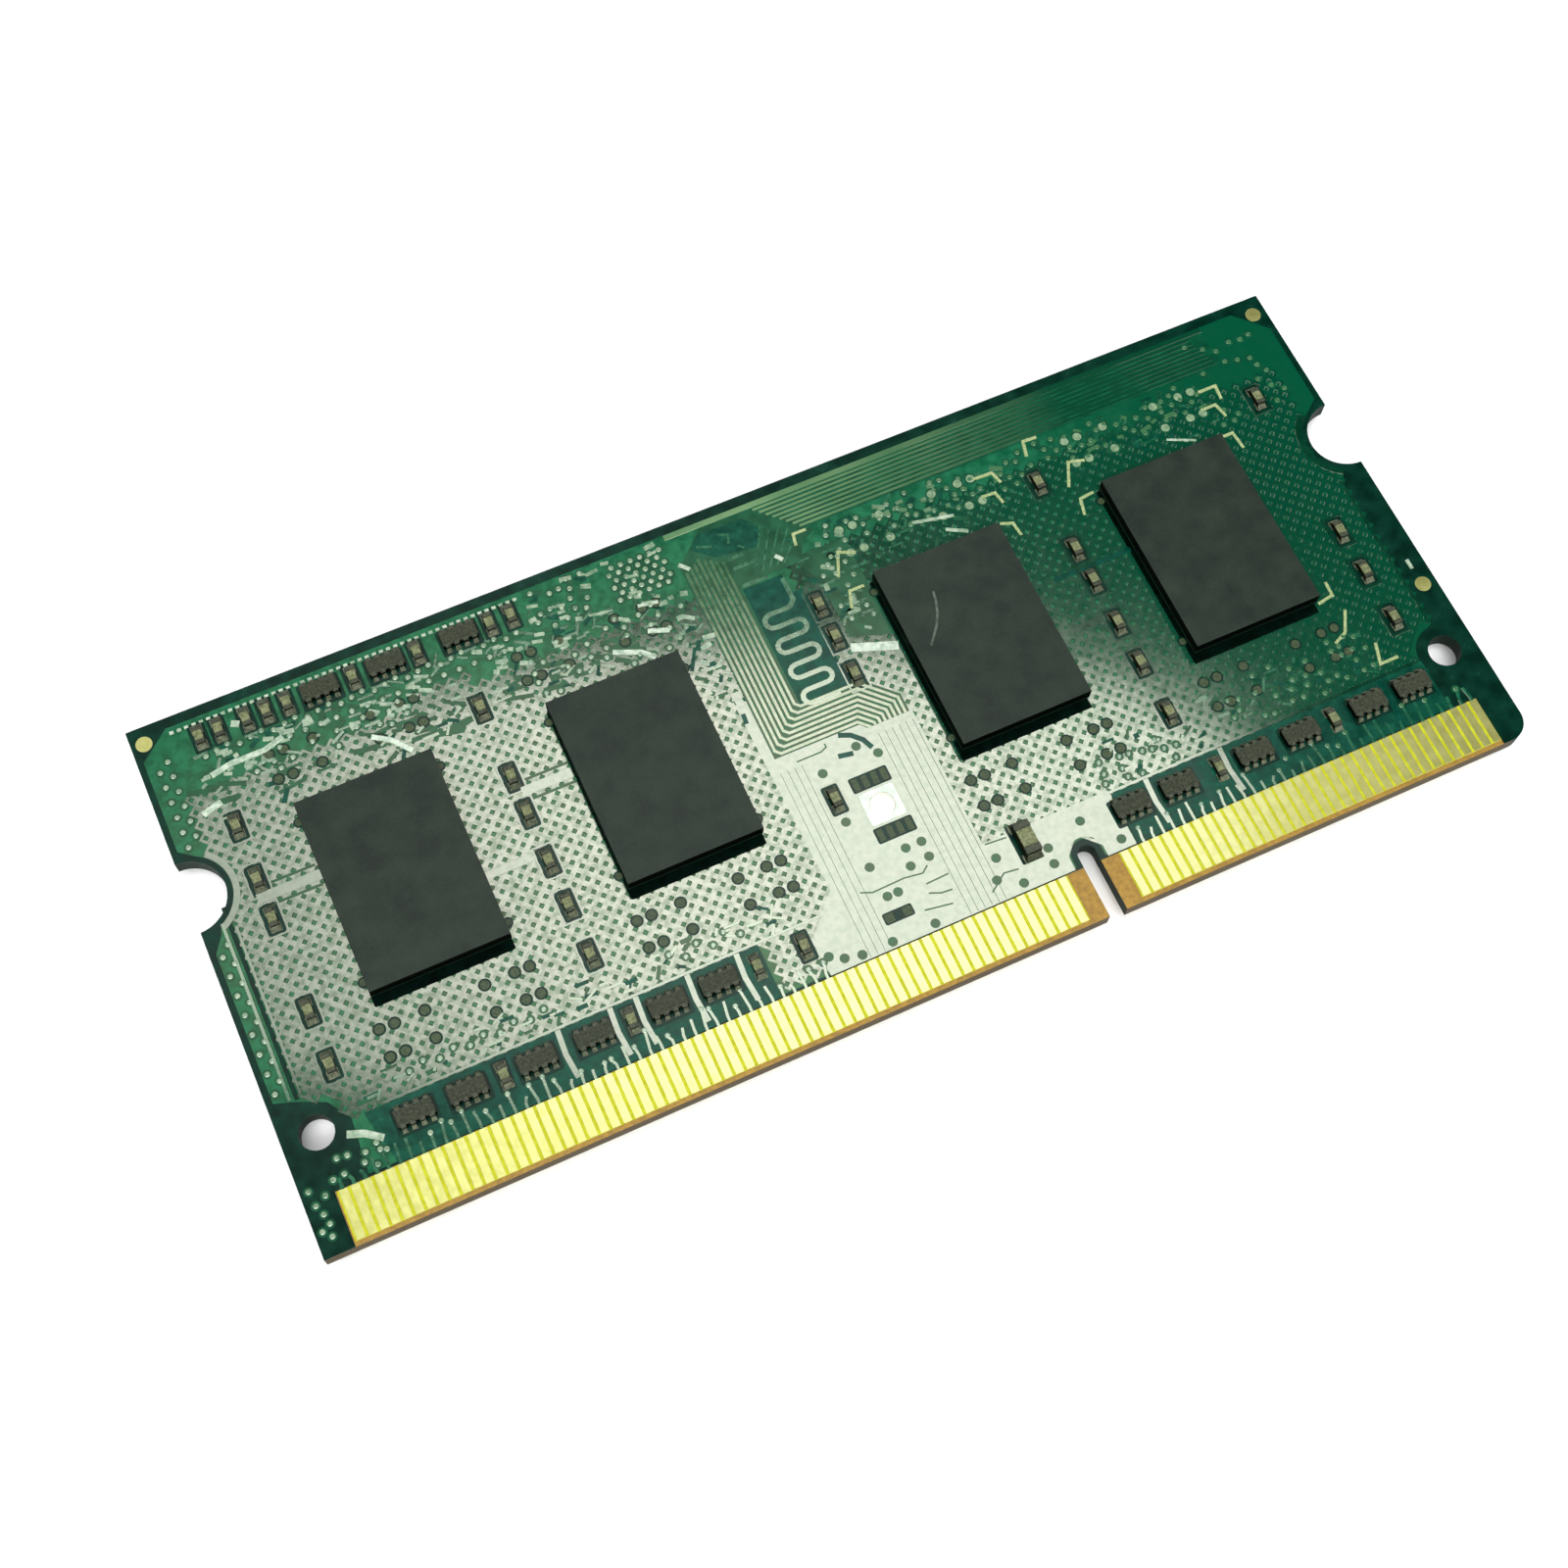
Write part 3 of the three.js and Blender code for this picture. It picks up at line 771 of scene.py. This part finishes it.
# Boxes that details are strewn in, as (x0, y0, x1, y1, count).
VIA_CLUSTERS = (
    (0.4, 0.8, 1.3, 3.4, 7), (1.6, 3.3, 5.0, 4.4, 9), (22.0, 26.6, 25.2, 29.2, 16),
    (38.0, 24.4, 47.5, 26.5, 34), (48.6, 24.4, 61.5, 26.4, 44), (20.5, 22.9, 29.6, 26.0, 30),
    (53.5, 6.4, 62.0, 9.0, 34), (45.4, 6.3, 50.0, 7.8, 14), (5.4, 24.8, 14.0, 26.0, 16),
    (61.6, 22.8, 66.4, 28.6, 20), (37.0, 19.9, 38.8, 24.4, 13),
)
CLEARING_CLUSTERS = (
    (2.5, 23.0, 16.5, 27.2, 80), (18.3, 22.9, 30.0, 27.0, 76), (36.4, 23.0, 49.0, 26.6, 60),
    (36.9, 19.6, 38.9, 23.6, 24), (28.5, 18.6, 30.2, 24.0, 22), (51.5, 23.0, 62.5, 26.6, 44),
    (4.0, 6.3, 28.0, 7.7, 60), (45.5, 6.3, 62.0, 9.0, 60), (21.8, 25.6, 25.2, 29.3, 24),
    (3.0, 26.6, 21.5, 27.4, 30),
)
PALE_CLUSTERS = (
    (2.8, 25.3, 16.5, 27.0, 38), (18.3, 25.3, 30.0, 27.0, 32), (21.8, 27.2, 29.8, 29.2, 12),
    (36.6, 24.6, 48.8, 26.3, 18), (51.5, 24.6, 62.0, 26.2, 12), (37.0, 19.8, 38.7, 24.2, 7),
    (29.0, 19.6, 30.2, 25.0, 6),
)
WIDE_GAP_CLUSTERS = (
    (6.0, 23.5, 14.5, 24.8, 12), (19.3, 23.3, 29.6, 25.0, 20), (2.4, 24.2, 5.6, 25.3, 5),
    (14.6, 22.9, 16.6, 24.6, 4),
)


def finger_stubs():
    """A short track from each finger into the board, some with a via at the end."""
    lines, vias = [], []
    rng = np.random.default_rng(STUB_SEED)
    for first, count in FINGER_ROWS:
        for i in range(count):
            x = first + i * FINGER_PITCH
            end = 3.35 + 0.75 * rng.random()
            lean = 0.3 * (rng.random() - 0.5)
            if 28.0 < x < 45.4:
                continue
            lines.append(([(x, 2.85), (x, 3.15), (x + lean, end)], 0.2))
            if rng.random() < 0.45:
                vias.append((x + lean, end + 0.1))
    return lines, vias


def via_spots():
    """Vias: rows above and below the packages and clusters near the top edge."""
    rng = np.random.default_rng(VIA_SEED)
    spots = [(6.9 + 0.86 * i, 26.4) for i in range(16)]
    spots += [(7.0 + 0.8 * i, 7.0 + 0.25 * (i % 2)) for i in range(10)]
    spots += [(21.0 + 0.75 * i, 7.3 - 0.45 * (i % 2)) for i in range(6)]
    spots += [(0.95 + 0.55 * (i % 2), 22.6 + 0.45 * i) for i in range(12)]
    spots += [(3.4 + 0.62 * i, 27.05 + 0.12 * (i % 3)) for i in range(29)]
    spots += [(0.6 + 0.45 * (i % 2), 8.6 + 0.55 * i) for i in range(16)]
    spots += [(26.6 + 0.56 * i + 0.28 * (j % 2), 26.7 + 0.4 * j) for i in range(6) for j in range(6)]
    for *box, count in VIA_CLUSTERS:
        cluster = []
        while len(cluster) < count:
            x, y = place_in(rng, box)
            if all(math.hypot(x - a, y - b) > 0.5 for a, b in cluster):
                cluster.append((x, y))
        spots += cluster
    return spots


def hatch_regions(rear):
    """Where the hatched copper is, and what it stays clear of."""
    regions, keep = Area(), Area()
    regions.box(1.6, 5.9, 66.0, 25.4)
    regions.box(14.4, 25.0, 17.5, 26.0)
    keep.box(66.0, 0, LENGTH, 18.0)
    for x, y in HOLES:
        keep.line([(x, y), (x, y)], 1.75)
    for x in (0, LENGTH):
        keep.line([(x, LATCH_Y), (x, LATCH_Y)], LATCH_RADIUS + 0.55)
    keep.line([(KEY_X, 0), (KEY_X, 3.5)], 0.95)
    for x in CHIP_X:
        keep.box(x - 3.2, CHIP_Y - 5.0, x + 3.2, CHIP_Y + 5.0)
    if rear:
        regions.box(25.6, 3.2, 45.2, 6.2)
        keep.box(30.6, 3.0, 37.4, 15.0)
        keep.box(30.6, 14.0, 35.5, 30.0)
        keep.line([(38.5, 2.5), (45.0, 2.5)], 0.9)
    else:
        keep.box(31.8, 17.2, 35.6, 21.8)
    return regions, keep


def package_pads(gaps, pads, rear):
    """Spare pads round the package sites, each in its clearing; some are tinned. A near-black plate under and
    round each package is a painted shadow.
    """
    for x in CHIP_X:
        left = 0.15 if x > LENGTH / 2 else 0.05
        # Painted shadow: a near-black plate under each package, reaching out in front of it and a little to
        # its left.
        site = rectangle(x - left / 2, CHIP_Y - 0.22, CHIP_W + left, CHIP_L + 0.5, 0.1)
        gaps.plate(site, DARK_GAP, 0.01, PAINTED_SHADOW)
        spots = [(x + dx, y, 0.25) for y in DUMMY_ROWS for dx in DUMMY_OFFSETS]
        reach = CHIP_W / 2 + 0.12
        spots += [(x + side * reach, y, 0.2) for side in (-1, 1) for y in (12.2, 21.6)]
        for px, py, radius in spots:
            tinned = rear and px > 36 and py > 24
            clearing = circle(px, py, radius + 0.1, 16)
            gaps.plate(clearing, DARK_GAP, 0.01, PLAIN if tinned else DARK)
            pads.plate(circle(px, py, radius, 14), PAD, 0.012, 1 if tinned else 0)


def rear_gaps(gaps, border):
    """Areas of the rear face whose mask looks different: bare, deep, teal and in thin lines."""
    for areas, height, slot in (
        (PLAIN_AREAS, GAP, PLAIN), (DEEP_AREAS, DARK_GAP, DEEP), (TEAL_AREAS, DARK_GAP, TEAL)
    ):
        for outline in areas:
            gaps.plate(outline, height, 0.0, slot)
    gaps.ribbons(TEAL_STROKES, TRACK, TEAL)

    def pocket(x, y, width, length, height=DARK_GAP):
        gaps.plate(rectangle(x, y, width, length, 0.12), height, 0.01, DARK)

    for x, y in SOLID_CHIPS + EXTRA_CHIPS:
        pocket(x, y, 0.95, 1.75)
        if 7.0 < y < 25:
            border.ribbon(rectangle(x, y, 1.08, 1.9), 0.14, TRACK, closed=True)
    x, y = BULK_CHIP
    pocket(x - 0.1, y, 1.2, 2.3)
    # Under each array a dark clearing, set towards the contact edge: partly the real clearing, partly a
    # painted shadow in front of the array.
    for x, y in ARRAYS:
        pocket(x, y - 0.1, 2.3, 1.6, TRACK)
    for x, y in DARK_DOTS:
        gaps.plate(circle(x, y, 0.27, 14), DARK_GAP, 0.01, PLAIN)
    ends = [(x0, x1, y) for x0, x1 in ((3.9, 6.5), (17.9, 20.4)) for y in (19.1, 17.95)]
    gaps.ribbons([([(x0, y), (x1, y)], 0.2) for x0, x1, y in ends], DARK_GAP, PLAIN)
    gaps.ribbon([(1.5, 7.9), (1.5, 18.8)], 0.24, DARK_GAP, DARK)
    columns = (30.25, 30.65, 31.05, 31.45, 35.9, 36.3, 36.7, 37.1, 37.5, 37.9)
    gaps.ribbons([([(x, 3.0), (x, 14.0)], 0.08) for x in columns], DARK_GAP, PLAIN)
    gaps.ribbons([(path, 0.14) for path in THIN_GAPS], DARK_GAP, PLAIN)


def clearances(gaps, tracks):
    """Irregular clearings and short tracks that fan out between packages and top edge."""
    rng = np.random.default_rng(CLEARING_SEED)
    for *box, count in CLEARING_CLUSTERS:
        for i in range(count):
            x, y = place_in(rng, box)
            turn = math.radians((0, 0, 30, -30, 60)[rng.integers(5)])
            path = stroke_at(x, y, rng.uniform(0.12, 0.45), turn)
            if i % 2:
                gaps.ribbon(path, rng.uniform(0.16, 0.34), GAP, DEEP if i % 4 == 1 else PLAIN)
            else:
                tracks.ribbon(path, rng.uniform(0.16, 0.24), TRACK)


def bold_strokes(gaps, pale):
    """Wider strokes of copper near the top edge, and wider gaps in the hatching below them."""
    rng = np.random.default_rng(STROKE_SEED)
    for *box, count in PALE_CLUSTERS:
        for _ in range(count):
            path = random_stroke(rng, box, 0.12, 0.4)
            pale.ribbon(path, rng.uniform(0.2, 0.34), TRACK)
    for *box, count in WIDE_GAP_CLUSTERS:
        for _ in range(count):
            path = random_stroke(rng, box, 0.35, 0.9)
            gaps.ribbon(path, rng.uniform(0.26, 0.4), GAP, PLAIN)


def place_in(rng, box):
    x0, y0, x1, y1 = box
    return rng.uniform(x0, x1), rng.uniform(y0, y1)


def random_stroke(rng, box, least, most):
    """The two ends of a nearly level stroke whose middle lies in the given box."""
    x, y = place_in(rng, box)
    reach, turn = rng.uniform(least, most), math.radians(rng.uniform(-35, 15))
    return stroke_at(x, y, reach, turn)


def stroke_at(x, y, reach, turn):
    """The ends of a stroke that reaches that far both ways from (x, y)."""
    dx, dy = reach * math.cos(turn), reach * math.sin(turn)
    return [(x - dx, y - dy), (x + dx, y + dy)]


def copper_borders(border, rear):
    """Plain copper rims along the edges of the hatching."""
    rim = LATCH_RADIUS + 0.5
    notches = [circle(0, LATCH_Y, rim, 20, 50, -62), circle(LENGTH, LATCH_Y, rim, 20, 240, 130)]
    border.ribbons([(path, 0.4) for path in notches])
    edges = [[(1.75, 7.9), (1.75, 17.6)], [(5.2, 6.05), (29.0 if rear else 64.0, 6.05)]]
    edges += [[(45.4, 6.05), (64.0, 6.05)], [(65.9, 7.8), (65.9, 17.3)]]
    border.ribbons([(path, 0.2) for path in edges])


def copper_layer(side):
    """All the copper that shows through the mask on one face."""
    rear = side == "rear"
    regions, keep = hatch_regions(rear)
    hatch(side + "_hatched_copper", side, keep, regions)
    gaps, border, tracks, pads, pale = Shape(), Shape(), Shape(), Shape(), Shape()
    package_pads(gaps, pads, rear)
    copper_borders(border, rear)
    if rear:
        rear_gaps(gaps, border)
        clearances(gaps, tracks)
        bold_strokes(gaps, pale)
        for outline in SOLID_AREAS:
            border.plate(outline, COPPER + 0.001)
        border.ribbons(wide_strokes())
        for name, lines, high, finish_name in (
            ("rear_middle_bus", middle_bus(), TRACK, "bend_mask"),
            ("rear_top_bus", top_bus(), TRACK, "bus_mask_painted_highlight"),
            ("rear_painted_highlight_strokes", painted_highlight_strokes(), TRACK + 0.008, "bright_mask"),
        ):
            shape = Shape()
            shape.ribbons(lines, high)
            shape.piece(name, side, finish_name)
        lines = rear_tracks()
    else:
        lines = [([(2.1, 29.05), (65.0, 29.05)], 0.26)]
    stubs, stub_vias = finger_stubs()
    tracks.ribbons(lines + stubs)
    for x, y in stub_vias + via_spots():
        gaps.plate(circle(x, y, VIA_CLEARING, 10), GAP, 0.01, PLAIN)
        pale.ball(x, y, VIA_RADIUS, MASK, TRACK + 0.02)
    for name, shape, finishes in (
        ("_copper_gaps", gaps, "plain_mask dark_mask deep_mask teal_mask shaded_mask"),
        ("_tracks", tracks, "track_mask"),
        ("_vias", pale, "pale_mask"),
        ("_copper_borders", border, "plane_mask"),
        ("_bare_pads", pads, "bare_pad light_pad"),
    ):
        shape.piece(side + name, side, finishes)


def test_pads():
    """Round gold pads near the corners."""
    shape = Shape()
    for x, y in ((0.7, 29.0), (66.8, 28.9), (66.8, 9.95)):
        shape.plate(circle(x, y, 0.44, 28), TRACK, 0.015)
    shape.piece("rear_test_pads", "rear", "gold", "gold")


def corner_marks():
    """Cream L-shaped marks printed at the corners of the package sites."""
    shape = Shape()
    for path in (
        [(38.95, 22.2), (38.1, 22.2), (37.75, 21.2)], [(47.4, 22.6), (48.05, 22.35), (48.15, 21.5)],
        [(53.0, 22.3), (52.15, 22.2), (51.9, 21.2)], [(61.3, 22.5), (61.9, 22.5), (62.0, 21.4)],
        [(39.4, 24.2), (38.5, 24.6), (38.2, 23.9), (37.9, 23.2)],
        [(37.5, 26.6), (36.75, 26.6), (36.6, 25.9)], [(47.3, 25.7), (48.4, 25.65), (48.6, 24.9)],
        [(47.2, 24.5), (48.0, 24.45), (48.15, 23.7)], [(51.7, 26.7), (50.9, 26.75), (50.65, 25.8)],
        [(53.5, 24.3), (52.6, 24.55), (51.9, 23.1)], [(61.4, 25.6), (62.5, 25.6), (62.4, 24.7)],
        [(61.0, 24.5), (61.9, 24.5), (62.1, 23.6)], [(61.95, 12.2), (61.9, 11.35), (60.95, 11.2)],
        [(62.1, 10.3), (61.4, 9.1), (60.6, 8.75)], [(62.6, 7.9), (62.2, 6.7), (63.3, 6.7)],
    ):
        shape.ribbon(path, 0.2, INK, slope=0.02)
    shape.piece("rear_corner_marks", "rear", "ink")


# ---- packages


def package(side, number, x):
    """One ball-grid package: carrier and solder balls are new, die and mould cap are the CAD's."""
    name = f"{side}_dram_{number}"
    shape = Shape()
    outline = rectangle(x, CHIP_Y, CHIP_W, CHIP_L, 0.05)
    shape.block(outline, BALL_HEIGHT, BALL_HEIGHT + CARRIER_HEIGHT, 0.02)
    for column in (-4, -3, -2, 2, 3, 4):
        for row in range(-6, 7):
            place = x + column * BALL_PITCH, CHIP_Y + row * BALL_PITCH
            shape.ball(*place, BALL_RADIUS, 0.0, BALL_HEIGHT + 0.01, 1)
    replaced = (name + "_carrier_and_balls",)
    shape.piece(name + "_carrier", side, "carrier solder", "carrier", replaced)
    finish_node(name + "_mould_cap", "mould", 0.05)
    finish_node(name + "_die", "silicon", 0.0)


def finish_node(name, finish_name, bevel):
    """Gives a CAD node its material, and softens its edges by bevel mm."""
    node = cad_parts[name]
    node.data.materials.clear()
    node.data.materials.append(FINISHES[finish_name])
    if bevel > 0:
        edge = node.modifiers.new("soft_edges", "BEVEL")
        edge.width = bevel * MM
        edge.segments = 3
        edge.limit_method = "ANGLE"


def scratch():
    """A faint curved scuff on the third package."""
    shape = Shape()
    top = BALL_HEIGHT + CARRIER_HEIGHT + MOULD_HEIGHT
    path = [(41.85, 19.85), (41.75, 19.3), (41.5, 18.6), (41.1, 17.9), (40.6, 17.3), (40.35, 17.0)]
    shape.ribbon(path, 0.15, top + 0.004, low=top - 0.002)
    shape.piece("rear_package_scuff", "rear", "scuffed_mould", "mould")


# ---- small parts


def chip_part(name, side, x, y, size, replaced=()):
    """A two-terminal chip part along y: ceramic, two wrapped ends, fillets and lands."""
    width, length, height = size
    body, terminal, joint = range(3)
    shape = Shape()
    end = 0.24 * length
    middle = length - 2 * end + 0.02
    core = rectangle(x, y, width * 0.94, middle, 0.02, 1)
    shape.block(core, 0.03, height - 0.012, 0.02, body)
    for sign in (-1, 1):
        centre = y + sign * (length - end) / 2
        shape.block(rectangle(x, centre, width, end, 0.05), 0.02, height, 0.035, terminal)
        tip = y + sign * length / 2
        foot = rectangle(x, tip + sign * 0.09, width * 1.05, 0.3, 0.04)
        crest = rectangle(x, tip - sign * 0.02, width * 0.85, 0.1, 0.03)
        fillet = [lifted(foot, 0.02), lifted(foot, 0.05), lifted(crest, height * 0.6)]
        shape.loft(fillet, joint)
        land = rectangle(x, y + sign * (length / 2 - 0.02), width * 1.2, 0.52, 0.05)
        shape.plate(land, PAD, 0.01, joint)
    shape.piece(name, side, "chip_body terminal solder", "capacitor_ceramic", replaced)


def array_part(name, x, y, replaced):
    """A four-element resistor array: a glazed body with four scalloped ends on each side."""
    body, terminal, joint, glaze = range(4)
    shape = Shape()
    length, width, height = 2.0, 0.9, 0.45
    shape.block(rectangle(x, y, length, width, 0.04), 0.03, height, 0.03, body)
    window = rectangle(x, y, length - 0.1, width * 0.52, 0.03)
    shape.plate(window, height + 0.012, 0.008, glaze, height - 0.01)
    for column in range(4):
        cx = x + (column - 1.5) * 0.5
        for sign in (-1, 1):
            cy = y + sign * width / 2
            end = rectangle(cx, cy, 0.3, 0.24, 0.05)
            shape.block(end, 0.02, height + 0.006, 0.03, terminal)
            foot = rectangle(cx, cy + sign * 0.16, 0.32, 0.26, 0.04)
            crest = rectangle(cx, cy + sign * 0.09, 0.24, 0.08, 0.03)
            shape.loft([lifted(foot, 0.0), lifted(foot, 0.05), lifted(crest, 0.24)], joint)
    shape.piece(name, "rear", "array_body terminal solder array_body", "array", replaced)


def small_parts():
    """The arrays and chip parts of the rear face; the first ones replace CAD nodes."""
    for i, (x, y) in enumerate(ARRAYS, 1):
        name = f"resistor_array_{i}"
        array_part(name + "_soldered", x, y, (name,))
    chips = [(x, y, CHIP_SIZE) for x, y in SOLID_CHIPS] + [(*BULK_CHIP, BULK_SIZE)]
    for i, (x, y, size) in enumerate(chips, 1):
        name = f"capacitor_{i}"
        chip_part(name + "_soldered", "rear", x, y, size, (name,))
    for i, (x, y) in enumerate(EXTRA_CHIPS, 1):
        chip_part(f"rear_small_part_{i}", "rear", x, y, LOW_CHIP_SIZE)


def empty_footprint():
    """The unused eight-pad site in the middle with its bright thermal pad, and an unused pair."""
    shape = Shape()
    pad, bright, light, dark = range(4)
    x, y = 34.35, 10.28
    pocket = DARK_GAP + 0.006
    for row in (11.8, 8.75):
        shape.plate(rectangle(x, row, 2.2, 0.9, 0.1), pocket, 0.01, dark)
        for i in range(4):
            outline = rectangle(33.55 + 0.54 * i, row, 0.34, 0.7, 0.05)
            shape.plate(outline, PAD, 0.01, pad)
    # The light plate round the thermal pad is a painted highlight.
    shape.plate(rectangle(x, y, 2.0, 1.9, 0.1, 3), PAD, 0.012, light)
    shape.ball(x, y, 0.72, MASK, PAD + 0.03, bright, 20)
    shape.plate(rectangle(32.5, 4.5, 1.65, 0.66, 0.1), pocket, 0.01, dark)
    for x in (32.0, 33.0):
        shape.plate(rectangle(x, 4.5, 0.5, 0.5, 0.05), PAD, 0.01, pad)
    shape.piece("rear_empty_site", "rear", "bare_pad bright_solder bright_mask dark_mask", "tinned")


def config_memory():
    """The configuration memory on the front face: moulded body, leads and lands."""
    finish_node("config_memory_body", "mould", 0.03)
    finish_node("config_memory_leadframe", "solder", 0.01)
    shape = Shape()
    for i in range(4):
        for dy in (-1.6, 1.6):
            land = rectangle(33.7 - 0.75 + 0.5 * i, 19.5 + dy, 0.28, 0.6, 0.04)
            shape.plate(land, MASK, low=MASK - 0.004)
    shape.piece("front_memory_lands", "front", "solder", "tinned")


def front_small_parts():
    """Decoupling capacitors between the packages of the front face."""
    spots = [(x, y) for x in (3.6, 17.4, 30.4, 37.0, 50.2, 64.0) for y in (9.4, 12.4, 15.4, 23.4)]
    for i, (x, y) in enumerate(spots, 1):
        chip_part(f"front_small_part_{i}", "front", x, y, LOW_CHIP_SIZE)


# ---- studio


FLOOR_REACH = 4.0
SOFTBOX_SIZE, SOFTBOX_ENERGY = (0.236, 0.088), 0.306
SOFTBOX_PLACE, SOFTBOX_TURN = (0.027, 0.103, BOARD_HIGH.z + 0.3), -17.5
CAMERA_PLACE, CAMERA_LENS = (-0.0243, -0.0412, 0.1094), 51.3
TOWARDS_CAMERA = Vector((-0.178, -0.341, 0.923)).normalized()
CAMERA_RIGHT = Vector((0.909, -0.416, 0.022))


def studio():
    """Pale floor, and an oval softbox whose mirror image is the glare on the board."""
    corners = [(x * FLOOR_REACH, y * FLOOR_REACH, 0) for x, y in ((-1, -1), (1, -1), (1, 1), (-1, 1))]
    mesh = bpy.data.meshes.new("floor")
    mesh.from_pydata(corners, [], [(0, 1, 2, 3)])
    finish("paper", (0.93, 0.93, 0.93), (0.95, 0.95, 0.95), 40.0, (0.85, 0.95))
    mesh.materials.append(FINISHES["paper"])
    placed("floor", mesh)
    lamp = bpy.data.lights.new("softbox", "AREA")
    lamp.shape = "ELLIPSE"
    lamp.size, lamp.size_y = SOFTBOX_SIZE
    lamp.energy = SOFTBOX_ENERGY
    softbox = placed("softbox", lamp)
    softbox.location = SOFTBOX_PLACE
    softbox.rotation_euler = (0.0, 0.0, math.radians(SOFTBOX_TURN))
    graph = Graph(lamp)
    place = graph.add("NewGeometry", {})["Position"]
    slope = graph.span(graph.along(place, "X"), -0.08, 0.04, 0.42, 1.0, "SMOOTHSTEP")
    graph.put(graph.nodes["Emission"].inputs["Strength"], slope)


def surround():
    """A world that is bright near the horizon and in one wide patch behind the camera."""
    world = bpy.data.worlds.new("surround")
    bpy.context.scene.world = world
    graph = Graph(world)
    place = graph.add("TexCoord", {})["Generated"]
    low = graph.span(graph.along(place, "Z"), 0.3, 0.5, 1.5, 0.01, "SMOOTHSTEP")
    inputs = {0: place, 1: TOWARDS_CAMERA}
    towards = graph.add("VectorMath", inputs, operation="DOT_PRODUCT")["Value"]
    patch = graph.span(towards, 0.91, 0.97, 0.0, 9.0, "SMOOTHSTEP")
    sockets = graph.nodes["Background"].inputs
    graph.put(sockets["Strength"], graph.maths("ADD", low, patch))
    sockets["Color"].default_value = (1, 1, 1, 1)


def camera():
    """The camera, fitted to the photo by the board's corners, notches and contacts."""
    data = bpy.data.cameras.new("camera")
    data.lens = CAMERA_LENS
    data.sensor_width = 36.0
    data.clip_start, data.clip_end = 0.001, 20.0
    made = placed("camera", data)
    right = (CAMERA_RIGHT - CAMERA_RIGHT.dot(TOWARDS_CAMERA) * TOWARDS_CAMERA).normalized()
    turn = Matrix((right, TOWARDS_CAMERA.cross(right), TOWARDS_CAMERA)).transposed().to_4x4()
    made.matrix_world = Matrix.Translation(CAMERA_PLACE) @ turn
    bpy.context.scene.camera = made


board_core()
for build in (mask_sheets, contacts, copper_layer):
    for face in SIDES:
        build(face)
test_pads()
corner_marks()
for face in SIDES:
    for number, chip_x in enumerate(CHIP_X, 1):
        package(face, number, chip_x)
scratch()
small_parts()
empty_footprint()
config_memory()
front_small_parts()
studio()
surround()
camera()
bpy.context.scene.view_settings.view_transform = "Standard"
